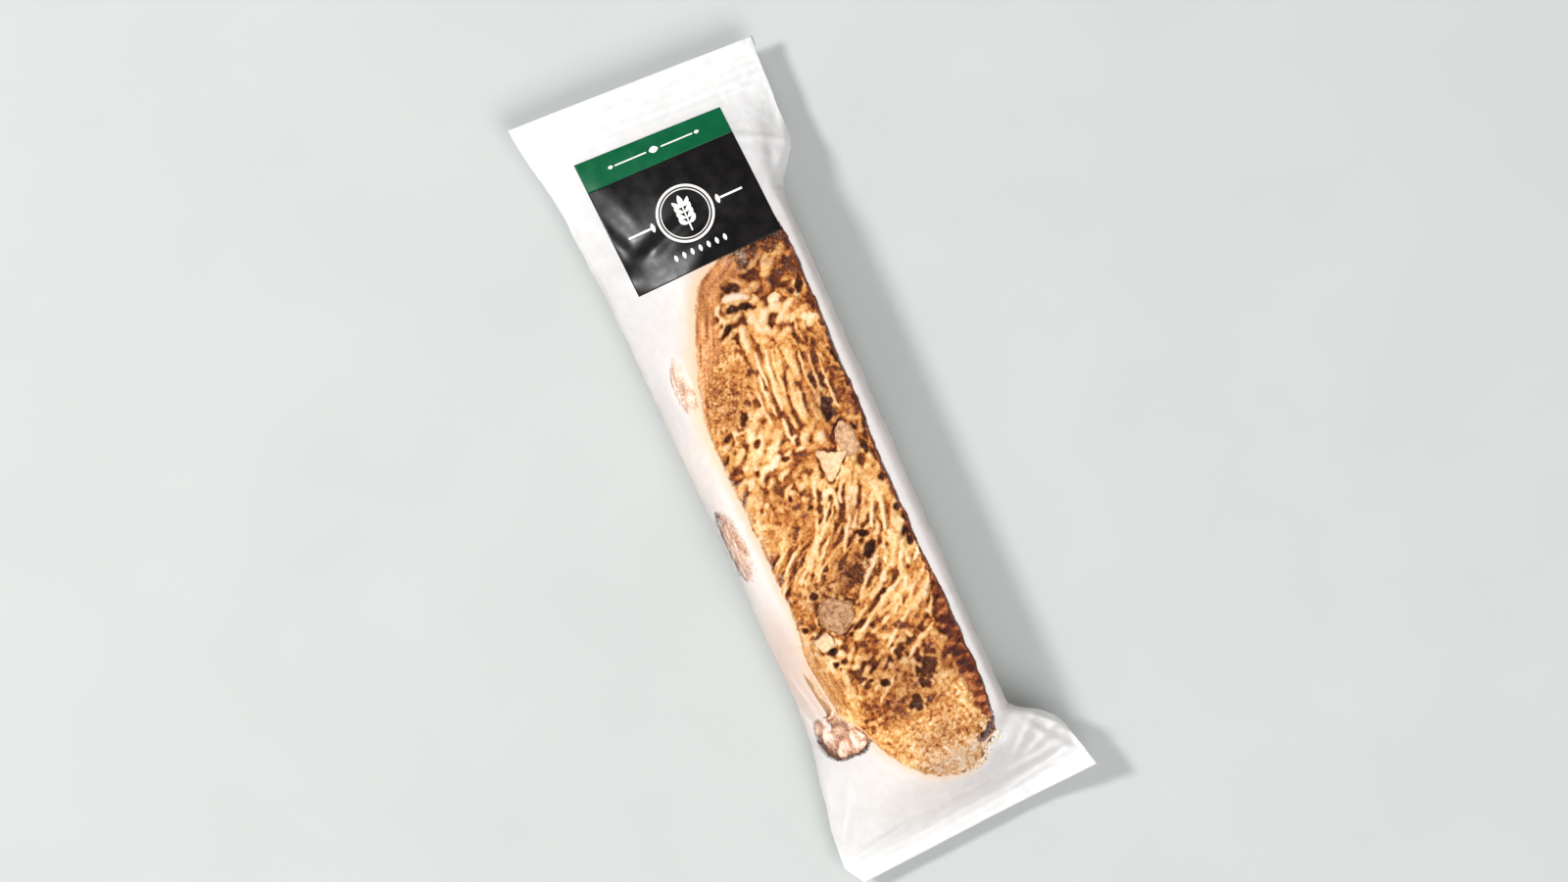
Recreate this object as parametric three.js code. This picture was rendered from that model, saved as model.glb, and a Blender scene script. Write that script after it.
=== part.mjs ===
// A single long biscotti sealed in a film wrapper: a film tube pressed flat and crimped at both ends,
// drawn tight over the slanted slice inside, with a folded seam down its back and a printed label.
// Millimetres. X runs across the pack, Y along it with the label at +Y, Z up. It lies on its back seam.

import * as THREE from 'three';

// Film tube
const WRAP_LENGTH = 185.6; // along the middle, between the cut ends
const FIN_THICKNESS = 0.8; // both layers of a pressed end together
const LABEL_CRIMP_DEPTH = 9.5; // the sealed band at the cut end
const FOOT_CRIMP_DEPTH = 6.2;
const CRIMP_PITCH = 1.9;
const CRIMP_HEIGHT = 0.28;
const LABEL_END_SKEW = -0.068; // the cut ends aren't square: rise in Y for each millimetre of X
const FOOT_END_SKEW = 0.04;
const SKEW_REACH = 34; // the skew dies out this far from the end

// Back seam, folded flat
const SEAM_WIDTH = 10;
const SEAM_X = -1.5;
const SEAM_THICKNESS = 0.5;

// Outline of the pack: half widths from its middle line, and where along it each flare starts and ends
const BODY_LEFT = 25.3;
const BODY_RIGHT_LABEL = 22.3; // the right side closes in towards the foot
const BODY_RIGHT_FOOT = 18.0;
const BODY_TAPER_END = 72;
const LABEL_FLARE_LEFT = { by: 0.9, from: 45, to: 68 };
const LABEL_CORNER_LEFT = 3.1; // from there to the cut end
const FOOT_FLARE_LEFT = { by: 6.1, from: 50, to: 90 };
const FOOT_CORNER_TURN = { by: 2.8, from: 88 }; // the foot's left corner is turned in
const LABEL_FLARE_RIGHT = { by: 6.2, from: 55.5, to: 66.5 };
const LABEL_CORNER_RIGHT = { by: 1, from: 66 };
const FOOT_FLAP_RIGHT = { by: 9.5, from: 71.5, to: 79.8, power: 1.7 }; // springs out below the slice
const FOOT_FLARE_RIGHT = 3.2; // and widens on to the cut end

// The slice under the film, whose cut face is a long half dome: flat side right, dome left
const PACK_HEIGHT = 19;
const SLICE_FLAT_X = 15.0; // where the dome's ends meet the flat side
const SLICE_DOME = 34.4; // how far the dome stands out from there
const SLICE_MIDDLE_Y = -14;
const SLICE_TO_LABEL = 71; // half lengths from the middle
const SLICE_TO_FOOT = 68.5;
const DOME_POWER_LABEL = 2.1;
const DOME_POWER_FOOT = 2.4;
const LEAST_PLATEAU = 5; // the flat top never narrows below this

// Heights of the seals and of the widest points of the sides
const LABEL_SEAL_HEIGHT = 8;
const FOOT_SEAL_HEIGHT = 7;
const FOOT_DROOP = 3.2; // the foot's flap hangs down towards its cut edge
const FOOT_CURL = 4.5; // and its right corner curls up
const LEFT_FOLD_HEIGHT = 5.5;
const RIGHT_FOLD_HEIGHT = 8;

// Where the pressed ends open out into the body
const LABEL_SHOULDER = [82, 55];
const FOOT_SHOULDER = [-88.5, -76.5];

// Label, printed on the film from the crimp to just past the slice's end
const LABEL = { left: -18.4, right: 17.1, foot: 47.8, head: 80.0, skew: -0.01, lean: -0.8 };
const LABEL_BAND = 6.7; // the coloured band at its head
const LABEL_THICKNESS = 0.3;
const GAP = 0.3; // between solids that touch

// Mesh steps
const TOP_STEPS = 28;
const SIDE_STEPS = 8; // under each side, between its fold and the seam

const mix = (a, b, t) => a + (b - a) * t;
const slope = (v, from, to) => Math.min(1, Math.max(0, (v - from) / (to - from)));
const ramp = (v, from, to) => {
  const t = slope(v, from, to);
  return t * t * (3 - 2 * t);
};
const HALF = WRAP_LENGTH / 2;

// ---- outline and heights along the pack ----

function leftEdge(y) {
  const { by, from, to } = LABEL_FLARE_LEFT;
  const label = by * slope(y, from, to) + LABEL_CORNER_LEFT * ramp(y, to, HALF);
  const foot = FOOT_FLARE_LEFT.by * ramp(-y, FOOT_FLARE_LEFT.from, FOOT_FLARE_LEFT.to);
  const turn = FOOT_CORNER_TURN.by * slope(-y, FOOT_CORNER_TURN.from, HALF);
  return -(BODY_LEFT + label + foot - turn);
}

function rightEdge(y) {
  const side = mix(BODY_RIGHT_FOOT, BODY_RIGHT_LABEL, slope(y, -BODY_TAPER_END, HALF));
  const shoulder = LABEL_FLARE_RIGHT.by * ramp(y, LABEL_FLARE_RIGHT.from, LABEL_FLARE_RIGHT.to);
  const corner = LABEL_CORNER_RIGHT.by * slope(y, LABEL_CORNER_RIGHT.from, HALF);
  const { by, from, to, power } = FOOT_FLAP_RIGHT;
  const flap = by * (1 - (1 - slope(-y, from, to)) ** power);
  return side + shoulder + corner + flap + FOOT_FLARE_RIGHT * slope(-y, to, HALF);
}

// How far the section has opened, from 0 in a pressed end to 1 over the slice
function fullness(y) {
  const label = slope(y, LABEL_SHOULDER[0], LABEL_SHOULDER[1]);
  const foot = slope(y, FOOT_SHOULDER[0], FOOT_SHOULDER[1]);
  const soft = (t) => mix(t, t * t * (3 - 2 * t), 0.5);
  return Math.min(soft(label), soft(foot));
}

// Left edge of the slice's cut face
function domeEdge(y) {
  const along = y - SLICE_MIDDLE_Y;
  const reach = along > 0 ? SLICE_TO_LABEL : SLICE_TO_FOOT;
  const power = along > 0 ? DOME_POWER_LABEL : DOME_POWER_FOOT;
  const share = Math.min(1, Math.abs(along) / reach);
  return SLICE_FLAT_X - SLICE_DOME * (1 - share ** power) ** (1 / power);
}

// Right edge of the slice's cut face
function flatEdge(y) {
  return mix(15.6, 18.6, slope(y, -73, 47)) - 7 * ramp(-y, 70, 83);
}

// Height of the plane in which the two layers of a pressed end meet
function sealHeight(x, y) {
  const foot = FOOT_SEAL_HEIGHT - FOOT_DROOP * slope(-y, 78, HALF);
  const curl = FOOT_CURL * ramp(x, 12, 31) * ramp(-y, 66, 84);
  const sag = 1.2 * (x / 30) ** 2;
  return mix(foot + curl, LABEL_SEAL_HEIGHT - sag, ramp(y, -40, 40));
}

// ---- creases: low ridges that run out of the shoulders ----

// Pleats that fan out of a point, from one bearing to another
function fan({ x, y, from, to, count, start, end, height }) {
  return (px, py) => {
    const far = Math.hypot(px - x, py - y);
    const bearing = Math.atan2(py - y, px - x);
    const turn = slope(bearing, from, to);
    if (turn <= 0 || turn >= 1) return 0;
    const fade = ramp(far, start, start + 4) * (1 - ramp(far, end - 6, end)) * Math.sin(Math.PI * turn);
    return height * fade * Math.sin(2 * Math.PI * count * turn);
  };
}

const CREASES = [
  fan({ x: 15, y: -68, from: -1.45, to: -0.35, count: 4, start: 5, end: 25, height: 0.8 }),
  fan({ x: -14, y: -62, from: -2.75, to: -1.5, count: 3, start: 7, end: 28, height: 0.6 }),
  fan({ x: 14, y: 52, from: 0.25, to: 1.5, count: 3, start: 8, end: 30, height: 0.6 }),
  fan({ x: -8, y: 46, from: 1.7, to: 2.9, count: 3, start: 12, end: 36, height: 0.5 }),
];
const crease = (x, y) => CREASES.reduce((sum, each) => sum + each(x, y), 0);

// Crimped ridges across a sealed band
function crimp(y) {
  const fromEnd = HALF - Math.abs(y);
  if (fromEnd > (y > 0 ? LABEL_CRIMP_DEPTH : FOOT_CRIMP_DEPTH) || fromEnd < 0.3) return 0;
  return CRIMP_HEIGHT * Math.cos((2 * Math.PI * fromEnd) / CRIMP_PITCH);
}

// ---- cross sections ----

// A tight film path from a fold at the side, over two corners, to the fold at the other side
function filmPath(start, cornerA, cornerB, end, lift, ease, steps) {
  const path = new THREE.Path();
  path.moveTo(start[0], start[1]);
  path.bezierCurveTo(
    start[0], start[1] + lift[0], cornerA[0] - ease[0], cornerA[1], cornerA[0], cornerA[1],
  );
  path.lineTo(cornerB[0], cornerB[1]);
  path.bezierCurveTo(cornerB[0] + ease[1], cornerB[1], end[0], end[1] + lift[1], end[0], end[1]);
  return path.getSpacedPoints(steps);
}

// Half of the film's path over the back, from the seam's edge out to a side fold
function backPath(seamX, foldX, foldZ, steps) {
  const side = Math.sign(foldX - seamX);
  const path = new THREE.Path();
  path.moveTo(seamX, 0);
  path.lineTo(foldX - side * 6, 0);
  path.bezierCurveTo(foldX - side * 2, 0, foldX, foldZ * 0.4, foldX, foldZ);
  return path.getSpacedPoints(steps);
}

// One closed section of the pack: points [x, z] from the left fold over the top, then back under it
function section(y) {
  const left = leftEdge(y);
  const right = rightEdge(y);
  const open = fullness(y);
  const flat = Math.max(flatEdge(y), left + LEAST_PLATEAU);
  const dome = Math.min(Math.max(domeEdge(y), left + 3), flat - LEAST_PLATEAU);
  const height = PACK_HEIGHT - SEAM_THICKNESS;
  const over = filmPath(
    [left, LEFT_FOLD_HEIGHT], [dome, height], [flat, height], [right, RIGHT_FOLD_HEIGHT],
    [5.5, 5.5], [3.2, 2.2], TOP_STEPS,
  );
  const seam = [SEAM_X - SEAM_WIDTH / 2, SEAM_X + SEAM_WIDTH / 2];
  const backRight = backPath(seam[1], right, RIGHT_FOLD_HEIGHT, SIDE_STEPS).reverse();
  const backLeft = backPath(seam[0], left, LEFT_FOLD_HEIGHT, SIDE_STEPS);

  const ridge = crimp(y);
  const pressed = (x, layer) => sealHeight(x, y) + ridge + (layer * FIN_THICKNESS) / 2;
  const topPoint = ({ x: bodyX, y: bodyZ }, i) => {
    const x = mix(mix(left, right, i / TOP_STEPS), bodyX, open);
    const edge = Math.min(i, TOP_STEPS - i) === 0 ? 0 : 1;
    return [x, mix(pressed(x, edge), bodyZ, open) + edge * crease(x, y)];
  };
  const backPoint = ({ x, y: bodyZ }) => {
    const pinch = Math.min(1, (right - x) / 2, (x - left) / 2);
    return [x, mix(pressed(x, -pinch) + pinch * crease(x, y), bodyZ, open)];
  };
  const lowered = ([x, z]) => [x, z - SEAM_THICKNESS];
  const back = [
    ...backRight.slice(1).map(backPoint),
    lowered(backPoint(backRight.at(-1))),
    lowered(backPoint(backLeft[0])),
    ...backLeft.slice(0, -1).map(backPoint),
  ];
  return [...over.map(topPoint), ...back].map(([x, z]) => [x, z + SEAM_THICKNESS]);
}

// The cut ends' skew, added to a station's Y
function skewed(x, y) {
  const label = LABEL_END_SKEW * ramp(y, HALF - SKEW_REACH, HALF);
  const foot = FOOT_END_SKEW * ramp(-y, HALF - SKEW_REACH, HALF);
  return y + x * (label + foot);
}

// Stations along the pack, closer together where the film bends
function stations() {
  const spans = [
    [HALF, HALF - LABEL_CRIMP_DEPTH, 15],
    [HALF - LABEL_CRIMP_DEPTH, 50, 14],
    [50, -62, 20],
    [-62, -HALF + FOOT_CRIMP_DEPTH, 14],
    [-HALF + FOOT_CRIMP_DEPTH, -HALF, 10],
  ];
  const list = [spans[0][0]];
  for (const [from, to, count] of spans) {
    for (let i = 1; i <= count; i++) list.push(mix(from, to, i / count));
  }
  return list;
}

// ---- solids ----

function solid(positions, indices) {
  const geometry = new THREE.BufferGeometry();
  geometry.setAttribute('position', new THREE.Float32BufferAttribute(positions.flat(), 3));
  geometry.setIndex(indices.flat());
  geometry.computeVertexNormals();
  return geometry;
}

// A closed skin over equal rings of points, with the end rings closed across from top to back
function wrapGeometry() {
  const rings = stations().map((y) => section(y).map(([x, z]) => [x, skewed(x, y), z]));
  const around = rings[0].length;
  const at = (ring, i) => ring * around + ((i + around) % around);
  const faces = [];
  for (let r = 0; r + 1 < rings.length; r++) {
    for (let i = 0; i < around; i++) {
      faces.push([at(r, i), at(r + 1, i), at(r + 1, i + 1)], [at(r, i), at(r + 1, i + 1), at(r, i + 1)]);
    }
  }
  const cap = (ring, facing) => {
    const points = rings[ring].map(([x, , z]) => new THREE.Vector2(x, z));
    for (const [a, b, c] of THREE.ShapeUtils.triangulateShape(points, [])) {
      const turn = THREE.ShapeUtils.area([points[a], points[b], points[c]]);
      const [first, second] = turn * facing < 0 ? [b, c] : [c, b];
      faces.push([at(ring, a), at(ring, first), at(ring, second)]);
    }
  };
  cap(0, 1);
  cap(rings.length - 1, -1);
  return solid(rings.flat(), faces);
}

// Height of the pack's top film at a point
function topHeight(x, y) {
  const over = section(y).slice(0, TOP_STEPS + 1);
  const i = Math.max(1, over.findIndex(([px]) => px >= x));
  const [ax, az] = over[i - 1];
  const [bx, bz] = over[i];
  return mix(az, bz, slope(x, ax, bx));
}

// A thin patch of print that follows the film, between two distances from the label's head
function printGeometry(from, to, across, down) {
  const top = [];
  const under = [];
  for (let j = 0; j <= down; j++) {
    for (let i = 0; i <= across; i++) {
      const middle = LABEL.head - mix(from, to, j / down);
      const up = slope(middle, LABEL.foot, LABEL.head);
      const x = mix(LABEL.left, LABEL.right, i / across) + LABEL.lean * up;
      const y = middle + LABEL.skew * x * up;
      const z = topHeight(x, y) + GAP;
      under.push([x, skewed(x, y), z]);
      top.push([x, skewed(x, y), z + LABEL_THICKNESS]);
    }
  }
  const row = across + 1;
  const half = top.length;
  const faces = [];
  for (let j = 0; j < down; j++) {
    for (let i = 0; i < across; i++) {
      const a = j * row + i;
      const [b, c, d] = [a + 1, a + row, a + row + 1];
      faces.push([a, c, d], [a, d, b], [half + a, half + d, half + c], [half + a, half + b, half + d]);
    }
  }
  const edge = (a, b) => faces.push([b, a, half + a], [b, half + a, half + b]);
  for (let i = 0; i < across; i++) {
    edge(i + 1, i);
    edge(down * row + i, down * row + i + 1);
  }
  for (let j = 0; j < down; j++) {
    edge(j * row, (j + 1) * row);
    edge((j + 1) * row + across, j * row + across);
  }
  return solid([...top, ...under], faces);
}

const finish = (color, roughness) => new THREE.MeshStandardMaterial({ color, roughness, metalness: 0 });

function part(name, geometry, material) {
  const mesh = new THREE.Mesh(geometry, material);
  mesh.name = name;
  return mesh;
}

const pack = new THREE.Group();
pack.add(
  part('wrapper', wrapGeometry(), finish(0xf3eee8, 0.35)),
  part('label_band', printGeometry(0, LABEL_BAND, 18, 4), finish(0x03674a, 0.4)),
  part(
    'label_panel',
    printGeometry(LABEL_BAND + GAP, LABEL.head - LABEL.foot, 18, 12),
    finish(0x1c1a1b, 0.35),
  ),
);

// The origin is under the middle of the pack, on the surface it lies on
const box = new THREE.Box3().setFromObject(pack);
const centre = box.getCenter(new THREE.Vector3());
pack.children.forEach((mesh) => mesh.geometry.translate(-centre.x, -centre.y, -box.min.z));

export default pack;
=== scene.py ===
"""A biscotti slice sealed in a film flow wrapper with a printed label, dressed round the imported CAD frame.

The film, its back seam and the label take their form from the CAD nodes that they replace. The slice, its
almonds and its crumbs lie inside the film. Lengths are millimetres in the part's frame until mesh_piece()
makes metres. X runs across the pack, Y along it with the label at +Y, and Z up.
"""

import math

import bpy
import numpy as np
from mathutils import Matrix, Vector
from mathutils.bvhtree import BVHTree


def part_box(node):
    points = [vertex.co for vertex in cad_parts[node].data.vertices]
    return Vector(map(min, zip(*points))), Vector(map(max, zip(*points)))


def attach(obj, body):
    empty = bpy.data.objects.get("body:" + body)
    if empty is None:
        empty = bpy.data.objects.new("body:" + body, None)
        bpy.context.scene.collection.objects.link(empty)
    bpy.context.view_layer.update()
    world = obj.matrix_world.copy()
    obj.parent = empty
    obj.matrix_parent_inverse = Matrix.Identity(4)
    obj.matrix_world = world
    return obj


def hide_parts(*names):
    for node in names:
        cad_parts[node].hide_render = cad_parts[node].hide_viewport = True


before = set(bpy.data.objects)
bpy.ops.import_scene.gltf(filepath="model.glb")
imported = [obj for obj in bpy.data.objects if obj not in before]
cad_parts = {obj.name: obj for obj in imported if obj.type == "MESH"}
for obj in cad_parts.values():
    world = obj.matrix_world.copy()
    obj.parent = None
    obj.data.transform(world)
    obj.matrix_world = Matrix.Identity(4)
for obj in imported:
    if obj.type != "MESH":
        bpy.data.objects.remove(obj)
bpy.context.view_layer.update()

MM = 0.001
RAY_START = 90.0  # above and below the whole pack
BESIDE = 45.0  # out past its sides
HALVINGS = 14  # of the search for a side

# The photograph's frame, laid over the pack
PHOTO_WIDTH_MM = 354.6  # what the 1600 pixels span at the pack
PHOTO_CENTRE = (-2.27, 4.15)  # the point of the part in the middle of the picture
PHOTO_TURN = -25.12  # degrees from the picture's right to the part's X
PACK_HEIGHT = 8.0  # where the picture's scale holds
CAMERA_HEIGHT = 1500.0
SENSOR_WIDTH = 36.0
LAMP_REACH = 1060.0  # how far each lamp stands to the side for a direction of length 1
FLOOR_REACH = 3000.0

# Film
FILM_COLUMNS = 118  # across each of its two sheets
EDGE_CROWDING = 0.55  # from even columns at 0 to ones that crowd towards the sides at 1
ROW_STEP = 0.52
CRIMP_ROW_STEP = 0.3
CRIMP_MARGIN = 2  # how far the closer rows go on past a crimped band
END_INSET = 0.15  # between the CAD's cut ends and the film's
FIN_HALF = 0.4  # half thickness of a pressed end in the CAD
SHEET_HALF = 0.12  # and here
LABEL_CRIMP = dict(depth=11.2, pitch=2.05, height=0.16, first=2.0)
FOOT_CRIMP = dict(depth=6.2, pitch=1.9, height=0.07, first=0.4)
PRESSED = (0.5, 2.5)  # half thickness of the pack where its film is pressed together, and where it is open
LOOSE = (9, 17)  # thickness of the pack where its film is loose, and where it is taut over the slice
# The seam folded flat under the pack, ribbed across
BACK_SEAM = dict(x=-1.5, half=5.0, edge=0.7, pitch=2.1, height=0.1)

# Print
LABEL_COLUMNS = 110
PRINT_LIFT = 0.03  # above the film
PRINT_THICKNESS = 0.07
MARK_LIFT = 0.13
MARK_THICKNESS = 0.04

# Slice
CUT_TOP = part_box("wrapper")[1].z / MM - 0.45  # height of its upper cut face
CUT_BOTTOM = 0.8  # and of the lower one
SLICE_CLEARANCE = 0.35  # between the slice and the film's CAD skin
MAP_STEP = 0.2  # between the cells of the cut face's maps
MAP_LOW = (-22.0, -84.0)  # their first corner
MAP_HIGH = (22.0, 60.0)
GRAIN_COUNT = 2.9  # grains tried for each that a region's cover asks for, as many fall outside its share
LOOSE_CRUMBS = 110
CRUMB_CLEARANCE = 0.75  # between them and the film's CAD skin


# ---- numbers ----


def ramp(v, start, end):
    """Smooth step from 0 at start to 1 at end."""
    t = np.clip((np.asarray(v, float) - start) / (end - start), 0, 1)
    return t * t * (3 - 2 * t)


def eased(t):
    """0 to 1 in steps that are smaller near both ends."""
    return (1 - np.cos(math.pi * t)) / 2


def window(v, start, full, fading, end):
    """Smooth rise from 0 at start to 1 at full, and fall from 1 at fading to 0 at end."""
    return ramp(v, start, full) * (1 - ramp(v, fading, end))


def mix(a, b, t):
    return a + (b - a) * t


def table(columns, *rows):
    """Rows as dictionaries, by the names of the columns."""
    return [dict(zip(columns.split(), row)) for row in rows]


def hashed(cells, seed):
    """A number from 0 to 1 for each integer cell, the same on every run."""
    c = cells.astype(np.int64).astype(np.uint64)
    h = c[..., 0] * np.uint64(73856093) ^ c[..., 1] * np.uint64(19349663)
    h = h ^ c[..., 2] * np.uint64(83492791) ^ np.uint64(seed * 2654435761 + 97)
    for shift, factor in ((15, 2246822519), (13, 3266489917)):
        h = ((h ^ (h >> np.uint64(shift))) * np.uint64(factor)) & np.uint64(0xFFFFFFFF)
    return ((h ^ (h >> np.uint64(16))) & np.uint64(0xFFFFFF)).astype(float) / 2**24


def drift(points, size, seed=0, octaves=1):
    """Smooth noise, mostly from -1 to 1, with lumps of about that size."""
    total = np.zeros(points.shape[:-1])
    for octave in range(octaves):
        p = points / size * 2**octave + 17.3 * octave
        cell = np.floor(p).astype(int)
        share = p - cell
        share = share * share * (3 - 2 * share)
        for corner in np.ndindex(2, 2, 2):
            weight = np.prod(np.where(corner, share, 1 - share), axis=-1)
            total += weight * (2 * hashed(cell + corner, seed + octave) - 1) * 0.55**octave
    return total


def drifts(points, size, seeds, octaves=1):
    """Such noise for each seed, side by side."""
    return np.stack([drift(points, size, seed, octaves) for seed in seeds], axis=-1)


def cellular(points, seed):
    """Distances to the nearest and second nearest scattered point, and a number of the nearest one's own."""
    base = np.floor(points).astype(int)
    near, second, own = np.full(len(points), 9.0), np.full(len(points), 9.0), np.zeros(len(points))
    for step in np.ndindex(3, 3, 3):
        cell = base + step - 1
        spot = cell + np.stack([hashed(cell, seed + k) for k in range(3)], axis=1)
        gap = np.linalg.norm(points - spot, axis=1)
        closer = gap < near
        second = np.where(closer, near, np.minimum(second, gap))
        own = np.where(closer, hashed(cell, seed + 3), own)
        near = np.where(closer, gap, near)
    return near, second, own


def in_plan(x, y):
    """Points at height 0."""
    return np.stack([x, y, np.zeros_like(x)], axis=-1)


def zone_reach(points, zone):
    """Distance in plan from a zone's centre, as a share of its half lengths."""
    return np.linalg.norm((points[..., :2] - zone["at"]) / zone["half"], axis=-1)


def turned(x, y, degrees):
    """Coordinates along and across a direction at that many degrees from +X."""
    a = math.radians(degrees)
    return x * math.cos(a) + y * math.sin(a), y * math.cos(a) - x * math.sin(a)


def blurred(field, rows, columns):
    """A grid smoothed by Gaussians of those widths in steps; its edges keep their slope."""
    for axis, width in ((0, rows), (1, columns)):
        reach = int(3 * width) + 1
        weights = np.exp(-0.5 * (np.arange(-reach, reach + 1) / width) ** 2)
        weights /= weights.sum()
        pad = [(reach, reach) if a == axis else (0, 0) for a in (0, 1)]
        padded = np.pad(field, pad, mode="reflect", reflect_type="odd")
        field = np.apply_along_axis(np.convolve, axis, padded, weights, mode="valid")
    return field


# ---- meshes ----


def mesh_piece(name, points, faces, smooth=True):
    mesh = bpy.data.meshes.new(name)
    mesh.from_pydata((np.asarray(points, float) * MM).tolist(), [], [list(map(int, f)) for f in faces])
    mesh.polygons.foreach_set("use_smooth", [smooth] * len(mesh.polygons))
    mesh.update()
    piece = bpy.data.objects.new(name, mesh)
    bpy.context.scene.collection.objects.link(piece)
    return piece


def vertex_vectors(piece, key):
    values = np.zeros(len(piece.data.vertices) * 3)
    piece.data.vertices.foreach_get(key, values)
    return values.reshape(-1, 3)


def points_of(piece):
    return vertex_vectors(piece, "co") / MM


def normals_of(piece):
    return vertex_vectors(piece, "normal")


def move_points(piece, points):
    piece.data.vertices.foreach_set("co", (points * MM).ravel())
    piece.data.update()


def paint(piece, **numbers):
    """Stores numbers for each vertex, which the piece's material reads by name."""
    for name, values in numbers.items():
        layer = piece.data.attributes.new(name, "FLOAT", "POINT")
        layer.data.foreach_set("value", np.asarray(values, np.float32))


def tree_of(piece):
    """A tree for rays and nearest points over a piece's faces, in millimetres."""
    return BVHTree.FromPolygons(points_of(piece).tolist(), [p.vertices[:] for p in piece.data.polygons])


def nearest(tree, points):
    """For each point, the closest spot on a tree's faces, the normal there and the distance."""
    found = [tree.find_nearest(Vector(p)) for p in points]
    spots = np.array([f[0] for f in found])
    return spots, np.array([f[1] for f in found]), np.array([f[3] for f in found])


def height_at(tree, x, y, side):
    """Height of a skin seen from above (side 1) or below (side -1), or None beside it."""
    hit = tree.ray_cast(Vector((x, y, side * RAY_START)), Vector((0, 0, -side)))[0]
    return None if hit is None else hit.z


def joined(shells):
    """Several (points, faces) as one."""
    points, faces, start = [], [], 0
    for shell_points, shell_faces in shells:
        points.append(np.asarray(shell_points, float))
        faces += [[start + i for i in face] for face in shell_faces]
        start += len(shell_points)
    return np.concatenate(points), faces


def smooth_loop(corners, steps):
    """A smooth closed curve through the corners."""
    p = np.asarray(corners, float)
    t = np.linspace(0, 1, steps, endpoint=False)[:, None]
    runs = []
    for i in range(len(p)):
        a, b, c, d = p[i - 1], p[i], p[(i + 1) % len(p)], p[(i + 2) % len(p)]
        runs.append(b + 0.5 * t * (c - a + t * (2 * a - 5 * b + 4 * c - d + t * (3 * b - a - 3 * c + d))))
    return np.concatenate(runs)


def tube_faces(rings, around):
    """The quads between so many closed rings of that many points."""
    faces = []
    for r in range(rings - 1):
        for i in range(around):
            j = (i + 1) % around
            faces.append([r * around + i, r * around + j, (r + 1) * around + j, (r + 1) * around + i])
    return faces


def lofted(rings):
    """A closed shell over equal rings of points, from the lowest up; each ring runs anticlockwise."""
    around, last = len(rings[0]), len(rings) - 1
    ends = [list(range(around))[::-1], [last * around + i for i in range(around)]]
    return np.concatenate(rings), tube_faces(len(rings), around) + ends


def ball(centre, radii, turn=0.0, around=24, up=14):
    """A closed ellipsoid, turned in plan."""
    rings = []
    for k in range(1, up):
        polar = math.pi * (k / up - 0.5)
        angle = np.linspace(0, 2 * math.pi, around, endpoint=False)
        flat = np.stack([np.cos(angle), np.sin(angle)], axis=1) * math.cos(polar)
        rings.append(np.column_stack([flat, np.full(around, math.sin(polar))]))
    points, faces = lofted(rings)
    points = points * radii
    x, y = turned(points[:, 0], points[:, 1], -turn)
    return np.column_stack([x, y, points[:, 2]]) + centre, faces


def outward_of(loop):
    """The direction straight out of an anticlockwise loop at each of its points."""
    ahead = np.roll(loop, -1, axis=0) - np.roll(loop, 1, axis=0)
    return np.column_stack([ahead[:, 1], -ahead[:, 0]]) / np.linalg.norm(ahead, axis=1)[:, None]


def remade(shells, voxel):
    """One even skin round overlapping closed shells: its points and its faces."""
    piece = mesh_piece("blank", *joined(shells))
    remesh = piece.modifiers.new("remesh", "REMESH")
    remesh.mode = "VOXEL"
    remesh.voxel_size = voxel * MM
    bpy.context.view_layer.update()
    skin = piece.evaluated_get(bpy.context.evaluated_depsgraph_get()).to_mesh()
    points = np.array([v.co for v in skin.vertices]) / MM
    faces = [p.vertices[:] for p in skin.polygons]
    bpy.data.objects.remove(piece)
    return points, faces


def relaxed(piece, rounds):
    """Evens out a piece's points towards their neighbours."""
    points = points_of(piece)
    edges = np.array([e.vertices[:] for e in piece.data.edges])
    both = np.concatenate([edges, edges[:, ::-1]])
    count = np.bincount(both[:, 0], minlength=len(points))[:, None]
    for _ in range(rounds):
        sums = [np.bincount(both[:, 0], points[both[:, 1], k], len(points)) for k in range(3)]
        points = mix(points, np.stack(sums, axis=1) / count, 0.5)
    move_points(piece, points)


# ---- materials ----


def rgb(red, green, blue):
    """A colour given as screen values from 0 to 255."""
    return (*((np.array([red, green, blue]) / 255) ** 2.2), 1.0)


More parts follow.
